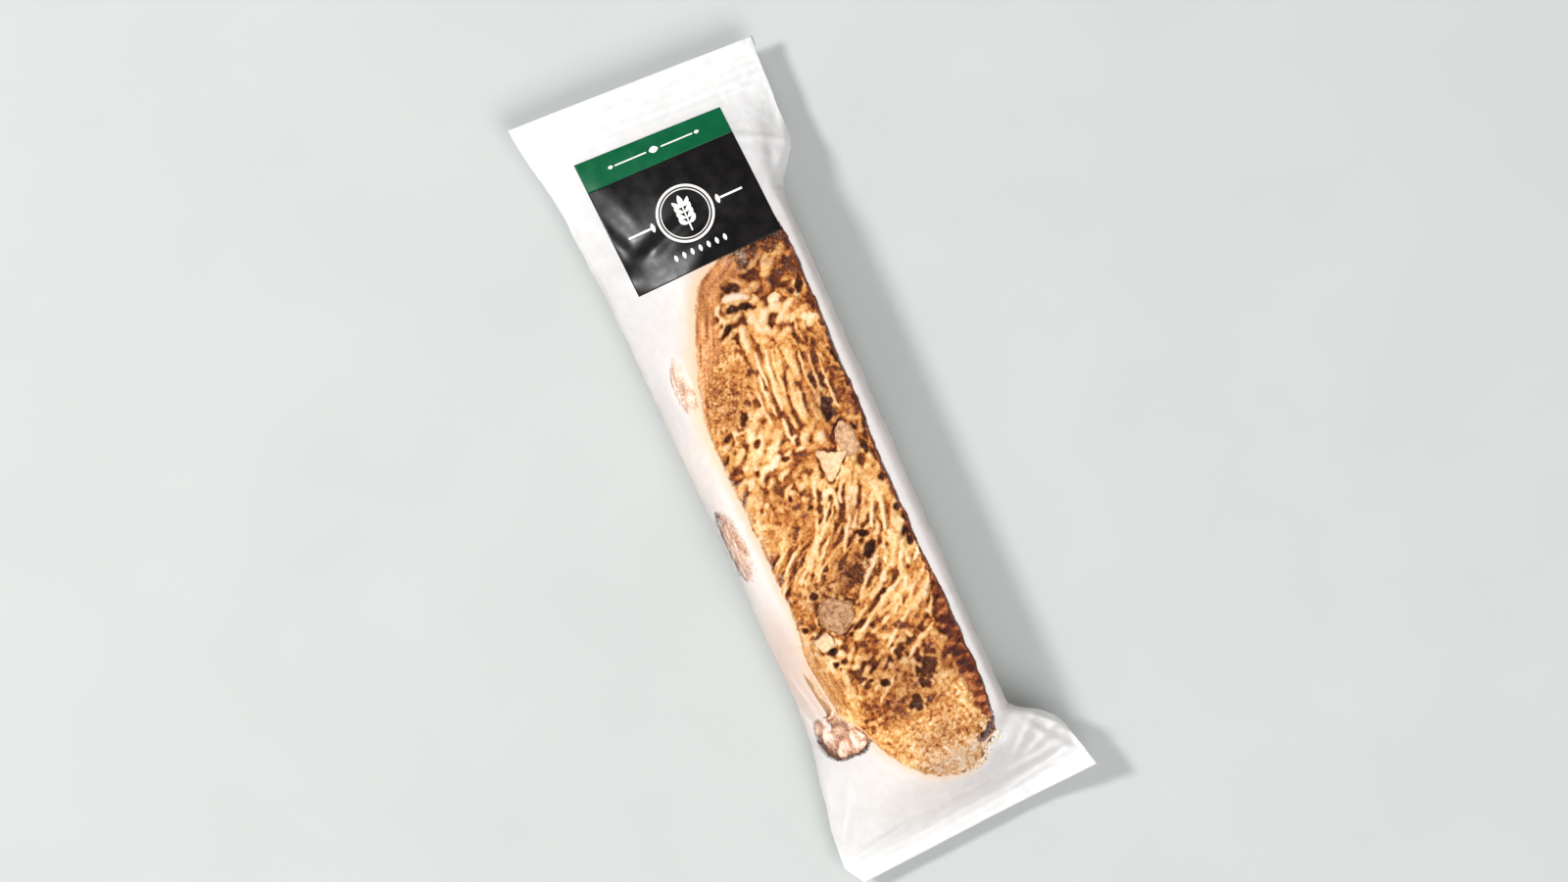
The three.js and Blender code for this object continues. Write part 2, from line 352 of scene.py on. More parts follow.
class Surface:
    """A material under construction: add() makes a node, sets it up and links its inputs."""

    def __init__(self, name):
        self.material = bpy.data.materials.new(name)
        self.material.use_nodes = True
        self.tree = self.material.node_tree
        self.tree.nodes.clear()

    def add(self, kind, inputs=None, **settings):
        node = self.tree.nodes.new("ShaderNode" + kind)
        for key, value in settings.items():
            setattr(node, key, value)
        for key, value in (inputs or {}).items():
            if isinstance(value, bpy.types.NodeSocket):
                self.tree.links.new(value, node.inputs[key])
            else:
                node.inputs[key].default_value = value
        return node

    def number(self, attribute):
        return self.add("Attribute", attribute_name=attribute).outputs["Fac"]

    def place(self):
        """The piece's own position, in millimetres."""
        spot = self.add("TexCoord").outputs["Object"]
        return self.add("VectorMath", {0: spot, "Scale": 1 / MM}, operation="SCALE").outputs["Vector"]

    def noise(self, size, detail=2.0, stretch=(1, 1, 1), roughness=0.55):
        """Noise from 0 to 1 with lumps of about that many millimetres."""
        spot = self.add("VectorMath", {0: self.place(), 1: stretch}, operation="MULTIPLY").outputs["Vector"]
        inputs = {"Vector": spot, "Scale": 1 / size, "Detail": detail, "Roughness": roughness}
        return self.add("TexNoise", inputs).outputs["Fac"]

    def math(self, operation, a, b=0.0, clamp=False):
        return self.add("Math", {0: a, 1: b}, operation=operation, use_clamp=clamp).outputs[0]

    def spread(self, value, low, high, to_low=0.0, to_high=1.0):
        inputs = {"Value": value, "From Min": low, "From Max": high, "To Min": to_low, "To Max": to_high}
        return self.add("MapRange", inputs, interpolation_type="SMOOTHSTEP").outputs["Result"]

    def blend(self, share, a, b, how="MIX"):
        node = self.add("Mix", data_type="RGBA", blend_type=how)
        for socket, value in ((node.inputs[0], share), (node.inputs[6], a), (node.inputs[7], b)):
            if isinstance(value, bpy.types.NodeSocket):
                self.tree.links.new(value, socket)
            else:
                socket.default_value = value
        return node.outputs[2]

    def colours(self, value, *stops):
        """A colour for a number, from stops of (number, colour)."""
        node = self.add("ValToRGB", {"Fac": value})
        elements = node.color_ramp.elements
        while len(elements) < len(stops):
            elements.new(0.5)
        for element, (position, colour) in zip(elements, stops):
            element.position = position
            element.color = colour
        return node.outputs["Color"]

    def bump(self, height, distance_mm, strength=1.0):
        inputs = {"Height": height, "Distance": distance_mm * MM, "Strength": strength}
        return self.add("Bump", inputs).outputs["Normal"]

    def coat(self, colour, roughness, normal, specular):
        return self.add("BsdfPrincipled", {
            "Base Color": colour, "Roughness": roughness, "Specular IOR Level": specular, "Normal": normal,
        })

    def shows(self, shader):
        self.tree.links.new(shader.outputs[0], self.add("OutputMaterial").inputs["Surface"])
        return self.material


# ---- the film ----


def plan_corners(name):
    """The corners of a CAD node in plan: foot left, foot right, head left, head right."""
    co = points_of(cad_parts[name])
    return [co[np.argmax(co[:, 0] * sx + co[:, 1] * sy)] for sy in (-1, 1) for sx in (-1, 1)]


def line_through(a, b):
    """Y at any X, on the line through two points."""
    slope = (b[1] - a[1]) / (b[0] - a[0])
    return lambda x: a[1] + slope * (x - a[0])


def stepped(spans):
    """Positions along spans of (from, to, step)."""
    runs = [np.linspace(a, b, round((b - a) / step), endpoint=False) for a, b, step in spans]
    return np.append(np.concatenate(runs), spans[-1][1])


WRAPPER = tree_of(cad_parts["wrapper"])
FOOT_LEFT, FOOT_RIGHT, HEAD_LEFT, HEAD_RIGHT = plan_corners("wrapper")
foot_line = line_through(FOOT_LEFT, FOOT_RIGHT)
head_line = line_through(HEAD_LEFT, HEAD_RIGHT)


def side_limit(share, side):
    """How far the wrapper reaches to one side, on the row at that share of its length."""
    inside, outside = 0.0, side * BESIDE
    for _ in range(HALVINGS):
        x = (inside + outside) / 2
        y = mix(foot_line(x), head_line(x), share)
        if height_at(WRAPPER, x, y, 1) is None:
            outside = x
        else:
            inside = x
    return inside


def film_grid():
    """X, Y and the heights of the two sheets of the CAD wrapper, on rows from foot to head."""
    length = head_line(0) - foot_line(0)
    foot_end = FOOT_CRIMP["depth"] + CRIMP_MARGIN
    head_start = length - LABEL_CRIMP["depth"] - CRIMP_MARGIN
    shares = stepped([
        (END_INSET, foot_end, CRIMP_ROW_STEP),
        (foot_end, head_start, ROW_STEP),
        (head_start, length - END_INSET, CRIMP_ROW_STEP),
    ]) / length
    lefts, rights = (np.array([side_limit(share, side) for share in shares]) for side in (-1, 1))
    u = np.linspace(0, 1, FILM_COLUMNS + 1)
    u = mix(u, eased(u), EDGE_CROWDING)
    x = mix(lefts[:, None], rights[:, None], u[None, :])
    y = mix(foot_line(x), head_line(x), shares[:, None])
    sheets = []
    for side in (1, -1):
        z = np.array([height_at(WRAPPER, a, b, side) or np.nan for a, b in zip(x.ravel(), y.ravel())])
        missing = np.isnan(z)
        z[missing] = np.interp(np.flatnonzero(missing), np.flatnonzero(~missing), z[~missing])
        sheets.append(z.reshape(x.shape))
    return x, y, sheets[0], sheets[1]


def fan(x, y, px, py, start, end, bearings, count, height, sharp):
    """Pleats that spread out of a point, between two bearings in degrees."""
    far = np.hypot(x - px, y - py)
    bearing = np.degrees(np.arctan2(y - py, x - px))
    turn = np.clip((bearing - bearings[0]) / (bearings[1] - bearings[0]), 0, 1)
    wave = np.sin(2 * math.pi * count * turn)
    wave = np.sign(wave) * np.abs(wave) ** sharp
    fade = window(far, start, start + 4, mix(start, end, 0.45), end)
    return height * wave * fade * np.sin(math.pi * turn)


def crease(x, y, a, b, width, height):
    """A ridge, or with a negative height a furrow, along the line from a to b, dying out at both ends."""
    run = np.hypot(b[0] - a[0], b[1] - a[1])
    along = ((x - a[0]) * (b[0] - a[0]) + (y - a[1]) * (b[1] - a[1])) / run
    across = ((x - a[0]) * (b[1] - a[1]) - (y - a[1]) * (b[0] - a[0])) / run
    return height * window(along, 0, 0.3 * run, 0.7 * run, run) * np.exp(-((across / width) ** 2))


def crimped(distance, across, depth, pitch, height, first):
    """Ridges across a sealed band, by the distance from its cut end; they are fainter here and there."""
    within = window(distance, first, first + pitch, depth - 0.6, depth + 0.4)
    flat = in_plan(across, distance)
    faint = 0.6 + 0.4 * drift(flat * (0.1, 0.5, 1), 1.0, seed=13)
    bow = 0.35 * drift(flat * (1, 0, 1), 14.0, seed=12)
    return height * within * faint * np.cos(2 * math.pi * (distance + bow) / pitch)


# Fans of pleats: the point they spread from, the distances where they show, their bearings in degrees,
# how many there are, how high, and the power of their wave, which is fuller below 1
PLEATS = table(
    "px py start end bearings count height sharp",
    (13.4, -66.8, 9, 36, (-72, -14), 4.5, 0.6, 0.8),
    (-13.6, -59.8, 8, 32, (-150, -88), 2.5, 0.4, 1.0),
    (14.4, 52.2, 9, 34, (15, 88), 3, 0.4, 1.0),
)
# Folds from a to b, with half their width; those below 0 are furrows
CREASES = table(
    "a b width height",
    ((-30.5, -87.0), (-21.5, -71.5), 1.2, 0.9),
    ((-31.0, -88.6), (-8.0, -84.6), 0.5, -0.16),
    ((-30.0, -91.3), (-10.0, -90.4), 0.5, -0.1),
    ((-3.2, -78.0), (-1.4, -86.5), 0.8, 0.6),
    ((10.5, -77.9), (20.0, -72.2), 1.5, -0.9),
    ((13.5, -83.0), (25.0, -73.5), 0.7, 0.85),
    ((15.5, -83.4), (31.0, -77.6), 0.8, 0.95),
    ((8.0, -86.8), (33.5, -84.5), 0.7, -0.75),
    ((7.0, -85.9), (26.0, -83.6), 0.7, 0.5),
    ((10.0, -88.6), (22.0, -87.1), 0.6, 0.35),
    ((13.8, -88.2), (14.8, -94.0), 0.3, -0.35),
    ((18.0, -88.2), (25.0, -88.9), 0.4, -0.35),
    ((24.6, -87.3), (25.4, -93.5), 0.35, 0.35),
    ((-25.2, -37.6), (-15.6, -39.2), 0.35, 0.6),
    ((-24.6, -40.8), (-20.6, -60.8), 0.6, 0.9),
    ((-23.4, -44.8), (-19.6, -62.8), 0.5, -0.8),
    ((-25.2, -48.0), (-22.6, -60.0), 0.4, -0.8),
    ((15.0, 72.6), (29.5, 64.2), 0.8, 0.5),
    ((18.6, 54.5), (22.4, 69.5), 1.1, 0.4),
    ((-16.0, 54.5), (4.0, 60.0), 2.2, 0.8),
)

BULGE = dict(at=(-21.5, 50.0), half=(7.0, 6.0), height=1.8)  # beside the slice's head
LABEL_ZONE = dict(x=(-22, -19, 13, 16), y=(45, 48, 78, 81))  # the film lies smoother under the print


def film_relief(x, y, thickness):
    """What pleats, creases and crimps add to the film's height."""
    plan = in_plan(x, y)
    loose = 1 - ramp(thickness, *LOOSE)
    relief = sum(fan(x, y, **pleat) for pleat in PLEATS) * loose
    soft = drift(plan * (1, 0.45, 1), 4.5, seed=3, octaves=2)
    mottle = drift(plan, 1.5, seed=7, octaves=2)
    relief += loose * (0.16 * soft + mix(0.03, 0.15, ramp(x, 14, 20) * ramp(y, 45, 56)) * mottle)
    head, foot = head_line(x) - y, y - foot_line(x)
    gather = drift(plan * (1, 0.12, 1), 2.6, seed=9, octaves=2)
    relief += gather * (0.08 * window(head, 8.5, 11, 13, 26) + 0.22 * window(foot, 5.5, 7, 8, 15))
    relief *= 1 - 0.85 * window(x, *LABEL_ZONE["x"]) * window(y, *LABEL_ZONE["y"])
    relief += sum(crease(x, y, **line) for line in CREASES)
    relief += BULGE["height"] * np.exp(-zone_reach(plan, BULGE) ** 2)
    return relief + crimped(head, x, **LABEL_CRIMP) + crimped(foot, x, **FOOT_CRIMP)


def on_seam(x):
    """1 on the back seam, falling to 0 at its edges."""
    return 1 - ramp(np.abs(x - BACK_SEAM["x"]), BACK_SEAM["half"] - BACK_SEAM["edge"], BACK_SEAM["half"])


def film_skin():
    """The wrapper's film as one closed skin, with its two sheets pressed together at the ends."""
    x, y, top, bottom = film_grid()
    middle, half = (top + bottom) / 2, (top - bottom) / 2
    pressed = 1 - ramp(half, *PRESSED)
    middle = mix(blurred(middle, 3, 2.0), blurred(middle, 9, 3.0), pressed)
    half = blurred(half, 3, 1.6)
    edge = np.minimum(np.arange(x.shape[1]), np.arange(x.shape[1])[::-1])[None, :]
    sealed = SHEET_HALF * ramp(edge, 0, 3)
    half = np.maximum(half - (FIN_HALF - SHEET_HALF) * pressed, sealed) * ramp(edge, -1, 1)
    relief = film_relief(x, y, 2 * half) * ramp(edge, 0, 5)
    top, bottom = middle + half + relief, middle - half + relief * pressed
    ribs = 0.5 * BACK_SEAM["height"] * (1 + np.cos(2 * math.pi * y / BACK_SEAM["pitch"]))
    bottom = bottom + ribs * on_seam(x) * (1 - pressed)
    rows, columns = x.shape
    upper, lower = np.stack([x, y, top], axis=2), np.stack([x, y, bottom], axis=2)
    ring = np.concatenate([upper, lower[:, -2:0:-1]], axis=1)
    around = ring.shape[1]
    faces = tube_faces(rows, around)
    for row, flip in ((0, 1), (rows - 1, -1)):
        for i in range(columns - 1):
            above = [row * around + i, row * around + i + 1]
            below = [row * around + (around - i - 1) % around, row * around + (around - i) % around]
            if i == columns - 2:
                below[0] = above[1]
            corners = [above[0], below[1], below[0], above[1]][::flip]
            faces.append(list(dict.fromkeys(corners)))
    return ring.reshape(-1, 3), faces


# ---- the slice ----

# The cut face's edge, anticlockwise from the head: left is the domed crust, right the flat one
CUT_FACE = [
    (12.2, 56.2), (5.4, 52.2), (1.0, 47.8), (-4.2, 45.0), (-8.2, 39.4), (-12.3, 30.1),
    (-15.2, 22.0), (-17.2, 12.2), (-17.8, -1.8), (-17.7, -16.8), (-17.9, -33.8), (-18.9, -41.0),
    (-19.6, -48.0), (-18.4, -56.0), (-14.4, -62.0), (-12.9, -67.0), (-9.2, -73.4), (-4.6, -78.0),
    (0.0, -80.2), (3.9, -80.8), (7.6, -79.6), (11.9, -75.6), (14.2, -70.4), (15.5, -60.8),
    (15.9, -19.8), (17.0, 12.2), (18.0, 38.2), (17.2, 51.7),
]
SPREAD = dict(left=3.0, right=-0.8, foot=0.6)  # how much further the lower cut face reaches
RIM_RADIUS = 0.8
RIM_INSET = 0.5
WALL_BULGE = 0.5
SLICE_ROWS = 500
END_CROWDING = 0.25  # of its rows towards the foot and the head
FACE_COLUMNS = 120  # across the upper cut face
BACK_COLUMNS = 44  # across the lower one
WALL_STEPS = 13

# Almonds that stand out of the domed crust: how pale they are, and balls of (centre, radii, turn)
CRUST_ALMONDS = {
    "crust_almond_1": (0.94, [((-16.7, 23.8, 9.8), (4.0, 10.8, 8.6), -5)]),
    "crust_almond_2": (0.8, [((-18.7, -13.6, 10.4), (6.0, 15.5, 7.4), 2)]),
    "crust_almond_3": (0.7, [
        ((-18.0, -61.4, 10.6), (6.9, 6.5, 7.4), 8), ((-20.8, -59.2, 10.4), (3.6, 4.2, 6.0), 0),
        ((-15.0, -64.0, 11.8), (4.6, 3.8, 6.4), 25), ((-15.6, -58.4, 12.0), (4.6, 4.4, 6.6), 12),
    ]),
}


def slice_loop(depth):
    """The slice's outline in plan, that far below its upper cut face."""
    outline = smooth_loop(CUT_FACE, 14)
    layer = np.column_stack([outline, np.full(len(outline), depth / 3)])
    ragged = 1 + 1.2 * ramp(-outline[:, 1], 62, 72)[:, None]
    outline = outline + ragged * (0.4, 0.3) * drifts(layer, 3.2, (5, 6), octaves=3)
    outward = outward_of(outline)
    lean = np.where(outward[:, 0] < 0, -outward[:, 0] * SPREAD["left"], outward[:, 0] * SPREAD["right"])
    lean += np.maximum(-outward[:, 1], 0) * SPREAD["foot"]
    height = CUT_TOP - CUT_BOTTOM
    rim = max(0.0, 1 - min(depth, height - depth) / RIM_RADIUS)
    reach = lean * ramp(depth / height, 0, 1) + WALL_BULGE * math.sin(math.pi * depth / height)
    return outline + outward * (reach - RIM_INSET * rim**2)[:, None]


def sides(loop, share):
    """Y, and the left and right X, of a closed loop on rows at those shares of its length."""
    low, high = np.argmin(loop[:, 1]), np.argmax(loop[:, 1])
    y = mix(loop[low, 1], loop[high, 1], share)
    edges = []
    for step in (-1, 1):
        count = (step * (high - low)) % len(loop) + 1
        chain = loop[(low + step * np.arange(count)) % len(loop)]
        edges.append(np.interp(y, np.maximum.accumulate(chain[:, 1]), chain[:, 0]))
    return y, edges[0], edges[1]


def slice_skin():
    """The slice as one closed skin: rows from its foot to its head, each a ring round both cut faces."""
    share = np.linspace(0.0002, 0.9998, SLICE_ROWS)
    share = mix(share, eased(share), END_CROWDING)
    down = eased(np.linspace(0, 1, WALL_STEPS + 1)) * (CUT_TOP - CUT_BOTTOM)
    rows = [sides(slice_loop(depth), share) for depth in down]

    def across(level, columns):
        y, left, right = rows[level]
        u = np.linspace(0, 1, columns + 1)[None, :]
        x = mix(left[:, None], right[:, None], u)
        z = np.full(x.shape, CUT_TOP - down[level])
        return np.stack([x, np.broadcast_to(y[:, None], x.shape), z], axis=2)

    def wall(edge, levels):
        chains = [(rows[k][edge], rows[k][0], np.full(SLICE_ROWS, CUT_TOP - down[k])) for k in levels]
        return np.stack([np.column_stack(chain) for chain in chains], axis=1)

    inner = list(range(1, WALL_STEPS))
    faces_up, faces_down = across(0, FACE_COLUMNS), across(WALL_STEPS, BACK_COLUMNS)[:, ::-1]
    return lofted(np.concatenate([faces_up, wall(2, inner), faces_down, wall(1, inner[::-1])], axis=1))


def pressed_under(points, tree, clearance):
    """Points of the slice lowered in step, so that its upper face stays that far under the film."""
    ceiling = np.array([height_at(tree, x, y, 1) or CUT_TOP for x, y in points[:, :2]]) - clearance
    ceiling = np.clip(ceiling, CUT_BOTTOM + 1, CUT_TOP)
    share = (points[:, 2] - CUT_BOTTOM) / (CUT_TOP - CUT_BOTTOM)
    return np.column_stack([points[:, :2], mix(CUT_BOTTOM, ceiling, share)])


def kept_inside(points, tree, clearance):
    """Points moved in from a closed skin until they are that far inside it."""
    for _ in range(2):
        spots, normals, _ = nearest(tree, points)
        inside = -np.sum((points - spots) * normals, axis=1)
        points = points - normals * np.maximum(clearance - inside, 0)[:, None]
    return points


def edge_distance(points, outline):
    """Distance in plan to a closed outline, below 0 inside it."""
    x, y = points[..., 0], points[..., 1]
    best, inside = np.full(x.shape, 1e9), np.zeros(x.shape, bool)
    for a, b in zip(outline, np.roll(outline, -1, axis=0)):
        run = b - a
        t = np.clip(((x - a[0]) * run[0] + (y - a[1]) * run[1]) / (run @ run), 0, 1)
        best = np.minimum(best, np.hypot(x - a[0] - t * run[0], y - a[1] - t * run[1]))
        crosses = (a[1] > y) != (b[1] > y)
        inside ^= crosses & (x < a[0] + (y - a[1]) * run[0] / (run[1] or 1.0))
    return np.where(inside, -best, best)


# Regions of the cut face: centre, half lengths, the direction of the grains in degrees and how far it strays,
# the grains' half length and half width, how deep the gaps between them go, how much of the face they cover,
# and how pale they are against the rest
CRUMB = table(
    "at half turn stray grain depth cover tone",
    ((8.4, 50.2), (14, 6), 5, 60, (0.9, 0.5), 0.9, 2.0, -0.45),
    ((6.4, 39.8), (12, 7), 20, 35, (2.3, 1.0), 2.0, 1.4, -0.22),
    ((10.4, 30.2), (9, 5.5), 30, 25, (2.3, 1.3), 1.8, 1.7, 0.2),
    ((-10.6, 22.2), (6, 14), 72, 50, (0.55, 0.35), 0.6, 2.1, -0.05),
    ((-7.6, 9.2), (7, 7), 42, 22, (2.3, 1.05), 1.4, 1.8, 0.08),
    ((2.4, 16.2), (6, 13), 86, 7, (3.8, 1.0), 1.5, 1.7, 0.12),
    ((12.4, 14.2), (5, 16), 98, 28, (1.7, 0.62), 1.5, 1.6, -0.12),
    ((-9.6, 0.2), (8, 8), 44, 24, (2.2, 1.0), 1.3, 1.8, 0.1),
    ((0.4, -3.8), (6, 9), 60, 30, (1.8, 0.9), 1.2, 1.8, 0.1),
    ((11.4, -7.8), (6, 8), 75, 30, (1.9, 0.7), 1.4, 1.6, -0.02),
    ((-9.6, -11.8), (8, 5), 20, 50, (1.0, 0.65), 0.7, 1.9, 0.06),
    ((-7.6, -21.8), (10, 7), 36, 8, (4.0, 0.36), 1.3, 1.9, -0.02),
    ((4.4, -14.8), (7, 7), 55, 14, (3.4, 0.5), 1.5, 1.6, 0.14),
    ((12.4, -24.8), (6, 11), 75, 22, (1.9, 0.75), 1.6, 1.5, 0.1),
    ((1.4, -29.8), (8, 5), 35, 60, (0.9, 0.5), 1.1, 1.8, -0.14),
    ((-10.6, -33.8), (7, 6), 30, 60, (0.9, 0.6), 1.0, 1.7, -0.1),
    ((6.4, -37.8), (9, 6), 42, 14, (2.6, 0.6), 1.4, 1.7, 0.12),
    ((-3.6, -45.8), (9, 6), 20, 25, (1.4, 0.75), 1.7, 1.4, -0.1),
    ((6.4, -48.8), (7, 6), 30, 40, (1.2, 0.7), 1.6, 1.5, -0.1),
    ((-17.0, -50.0), (3.4, 9), 82, 10, (2.4, 0.4), 0.3, 1.9, 0.08),
    ((1.4, -58.8), (11, 6), 30, 50, (1.0, 0.55), 0.8, 1.8, -0.11),
    ((2.4, -68.8), (12, 6), 40, 60, (0.62, 0.42), 0.5, 2.1, 0.09),
    ((3.4, -77.8), (12, 5), 10, 70, (0.6, 0.4), 0.6, 2.1, 0.27),
)
# Holes in the cut face: centre, half lengths, turn and depth
HOLES = table(
    "at half turn depth",
    ((1.3, 40.6), (1.9, 1.1), -35, 2.4),
    ((2.3, 35.2), (3.2, 1.0), -12, 2.6),
    ((-4.7, 35.1), (1.0, 0.9), 20, 2.0),
    ((-3.7, 31.8), (2.1, 0.9), 32, 1.8),
    ((15.4, 34.1), (2.3, 0.8), 62, 2.0),
    ((10.0, 6.4), (2.9, 1.5), 84, 2.8),
    ((-8.1, 12.9), (1.1, 0.9), 0, 1.6),
    ((-13.9, 9.7), (1.7, 1.1), 10, 0.9),
    ((-7.9, 5.9), (0.9, 0.9), 0, 1.2),
    ((13.3, 0.9), (1.3, 0.6), 88, 1.6),
    ((-3.3, 0.4), (1.1, 0.7), 0, 1.4),
    ((-10.7, 0.0), (0.9, 0.7), 70, 1.3),
    ((13.6, -4.6), (2.6, 0.7), 88, 1.6),
    ((-13.5, -8.3), (1.0, 0.7), 80, 1.2),
    ((-6.5, -8.3), (1.3, 0.7), 85, 1.2),
    ((-3.3, -11.9), (1.0, 0.6), 10, 1.2),
    ((4.8, -21.7), (1.9, 0.8), -40, 2.4),
    ((5.0, -25.8), (2.5, 1.0), 50, 3.0),
    ((0.0, -28.5), (2.4, 1.2), 40, 1.0),
    ((14.4, -19.7), (0.9, 0.7), 0, 2.0),
    ((14.0, -27.2), (2.7, 0.8), 88, 2.2),
    ((-10.9, -30.4), (1.1, 0.7), -30, 1.6),
    ((-15.8, -36.5), (1.0, 0.8), 0, 1.6),
    ((-12.0, -36.6), (0.8, 0.7), 0, 1.3),
    ((-4.4, -40.6), (2.8, 0.7), 14, 1.6),
    ((-13.0, -46.4), (1.2, 1.2), 0, 2.4),
    ((-12.2, -43.7), (1.1, 0.7), 0, 1.8),
    ((3.6, -36.0), (1.1, 0.7), 20, 1.2),
    ((3.6, -44.3), (1.3, 1.0), 0, 1.1),
    ((1.6, -49.4), (1.8, 1.2), 30, 1.4),
    ((5.0, -55.6), (3.6, 2.4), 60, 1.6),
    ((-0.2, -61.8), (1.8, 1.4), 60, 1.6),
    ((-4.6, -54.8), (1.1, 0.8), -30, 1.8),
    ((11.4, -74.4), (2.4, 1.0), 32, 1.8),
    ((-8.2, -53.3), (1.4, 0.8), 30, 1.0),
)
# Strands that lie over the rest, each from one point to another with its half width
STRANDS = [
    ((0.2, 10.4), (2.6, 24.6), 0.5), ((2.5, 13.2), (3.9, 24.2), 0.4), ((-1.4, 9.8), (-1.2, 20.3), 0.42),
    ((-0.4, 16.9), (0.3, 25.2), 0.36), ((8.4, 10.2), (9.4, 22.2), 0.4), ((10.4, 9.8), (10.9, 19.8), 0.35),
    ((12.0, 4.8), (12.8, 17.8), 0.35), ((-0.5, 2.2), (-0.4, 9.0), 0.5), ((-3.0, 8.6), (-2.8, 17.4), 0.35),
    ((5.0, 7.8), (5.9, 14.2), 0.5), ((-2.4, 38.3), (-6.5, 33.6), 0.6), ((-6.5, 33.6), (-8.2, 31.0), 0.55),
    ((-13.0, -27.2), (1.3, -14.7), 0.5), ((-9.7, -25.8), (-3.3, -16.6), 0.5),
    ((-7.5, -24.9), (-2.4, -14.2), 0.45), ((-3.7, -18.9), (1.3, -12.4), 0.45),
    ((-5.2, -42.4), (10.6, -33.6), 0.6), ((-2.4, -35.5), (6.9, -26.8), 0.55),
    ((8.7, -34.1), (12.9, -26.8), 0.6), ((11.0, -41.5), (14.8, -36.4), 0.6),
    ((-0.6, -24.8), (4.4, -16.8), 0.5), ((6.4, -7.8), (9.0, -0.8), 0.5), ((7.4, -21.8), (11.9, -13.3), 0.6),
    ((10.0, -23.8), (13.0, -14.8), 0.5), ((-14.6, -19.8), (-7.6, -12.3), 0.5),
    ((-15.6, -24.3), (-8.6, -18.3), 0.45), ((2.6, -11.8), (3.8, -3.8), 0.5),
    ((-1.1, -47.8), (9.4, -40.8), 0.55), ((2.4, -51.8), (11.4, -46.8), 0.55),
    ((-8.6, -59.8), (-1.6, -53.8), 0.5),
    ((6.3, 24.6), (6.6, 14.6), 1.3), ((-1.8, 38.6), (4.8, 36.6), 1.15), ((7.2, 33.0), (10.2, 31.2), 1.4),
    ((7.6, 28.6), (14.6, 33.4), 0.9), ((-9.4, 31.4), (-5.0, 37.2), 0.7), ((2.4, 30.4), (5.8, 27.4), 1.3),
]
STRAND_TONE = 0.2
BED_TONE = -0.08  # of what shows between the grains
NUT_POCKET = 1.1  # how far the crumb gives way under an almond piece
# A close-grained stretch of the cut face, with fine streaks along it
SMOOTH = dict(at=(-16.7, -50.0), half=(3.0, 8.2), turn=6, tone=-0.14, streak=0.45)
# How wide the crust shows on the cut face: left, elsewhere and near the head, and right, above and below
CRUST_BAND = dict(left=(0.1, 7.5), right=(1.2, 4.4))
# Duller, greyer places in the crumb: centre, half lengths and share
DULL = table(
    "at half share",
    ((6.4, 48.2), (13.0, 6.5), 0.75),
    ((1.4, 38.2), (7.0, 5.0), 0.4),
    ((-0.1, -28.3), (5.5, 3.6), 0.6),
    ((-8.6, -31.8), (6.0, 4.0), 0.5),
    ((9.0, 9.2), (3.4, 5.0), 0.5),
    ((1.0, -56.0), (10.0, 9.0), 0.45),
    ((-10.1, 18.2), (6.0, 9.0), 0.25),
    ((5.4, -15.8), (2.5, 4.5), 0.3),
    ((-17.0, -49.0), (3.6, 10.0), 0.5),
    ((3.4, -75.0), (13.0, 9.0), 0.55),
)
# Sandier places in it, close-grained and speckled
SANDY = table(
    "at half share",
    ((-11.0, 22.0), (7.0, 13.0), 1.0),
    ((3.0, -72.0), (13.0, 11.0), 0.9),
    ((1.4, -29.8), (6.0, 4.5), 0.8),
    ((-11.0, -33.0), (6.0, 5.0), 0.7),
    ((8.4, 51.0), (13.0, 4.0), 0.6),
)
# Almond pieces cut through with the slice: centre, half lengths, turn, how far below the cut face, tone from
# brown at 0 to pale at 1, and corners as (degrees, share of the half lengths), or none for a rounded piece
NUTS = table(
    "at half turn below tone corners",
    ((5.5, -4.6), (4.4, 4.6), 0, 0.0, 0.78,
     [(12, 0.95), (68, 0.5), (125, 0.98), (180, 0.55), (238, 1.0), (305, 0.5)]),
    ((10.6, -1.2), (2.6, 4.2), -6, 0.35, 0.5, None),
    ((-8.4, -36.3), (4.3, 4.4), 20, 0.1, 0.15,
     [(0, 1.0), (50, 0.88), (95, 1.02), (140, 0.9), (185, 0.86), (235, 1.02), (280, 0.92), (325, 1.0)]),
    ((-13.2, -40.7), (2.3, 2.4), 15, 0.0, 0.8,
     [(40, 1.1), (95, 0.85), (140, 1.1), (230, 1.0), (310, 1.05)]),
)
NUT_THICKNESS = 2.2


def nut_loop(nut):
    """An almond piece's outline in plan."""
    corners = nut["corners"]
    if corners is None:
        corners = [(a, 1 + 0.08 * math.sin(a * 0.05 + nut["at"][0])) for a in range(0, 360, 36)]
    loop = [(r * math.cos(math.radians(a)), r * math.sin(math.radians(a))) for a, r in corners]
    loop = smooth_loop(loop, 6) * nut["half"]
    loop = np.stack(turned(loop[:, 0], loop[:, 1], -nut["turn"]), axis=1) + nut["at"]
    return loop + 0.28 * drifts(in_plan(*loop.T), 1.6, (35, 36), octaves=2)


def map_cell(spot):
    """The column and the row of the cut face's maps at a spot."""
    return ((np.array(spot) - MAP_LOW) / MAP_STEP).astype(int)


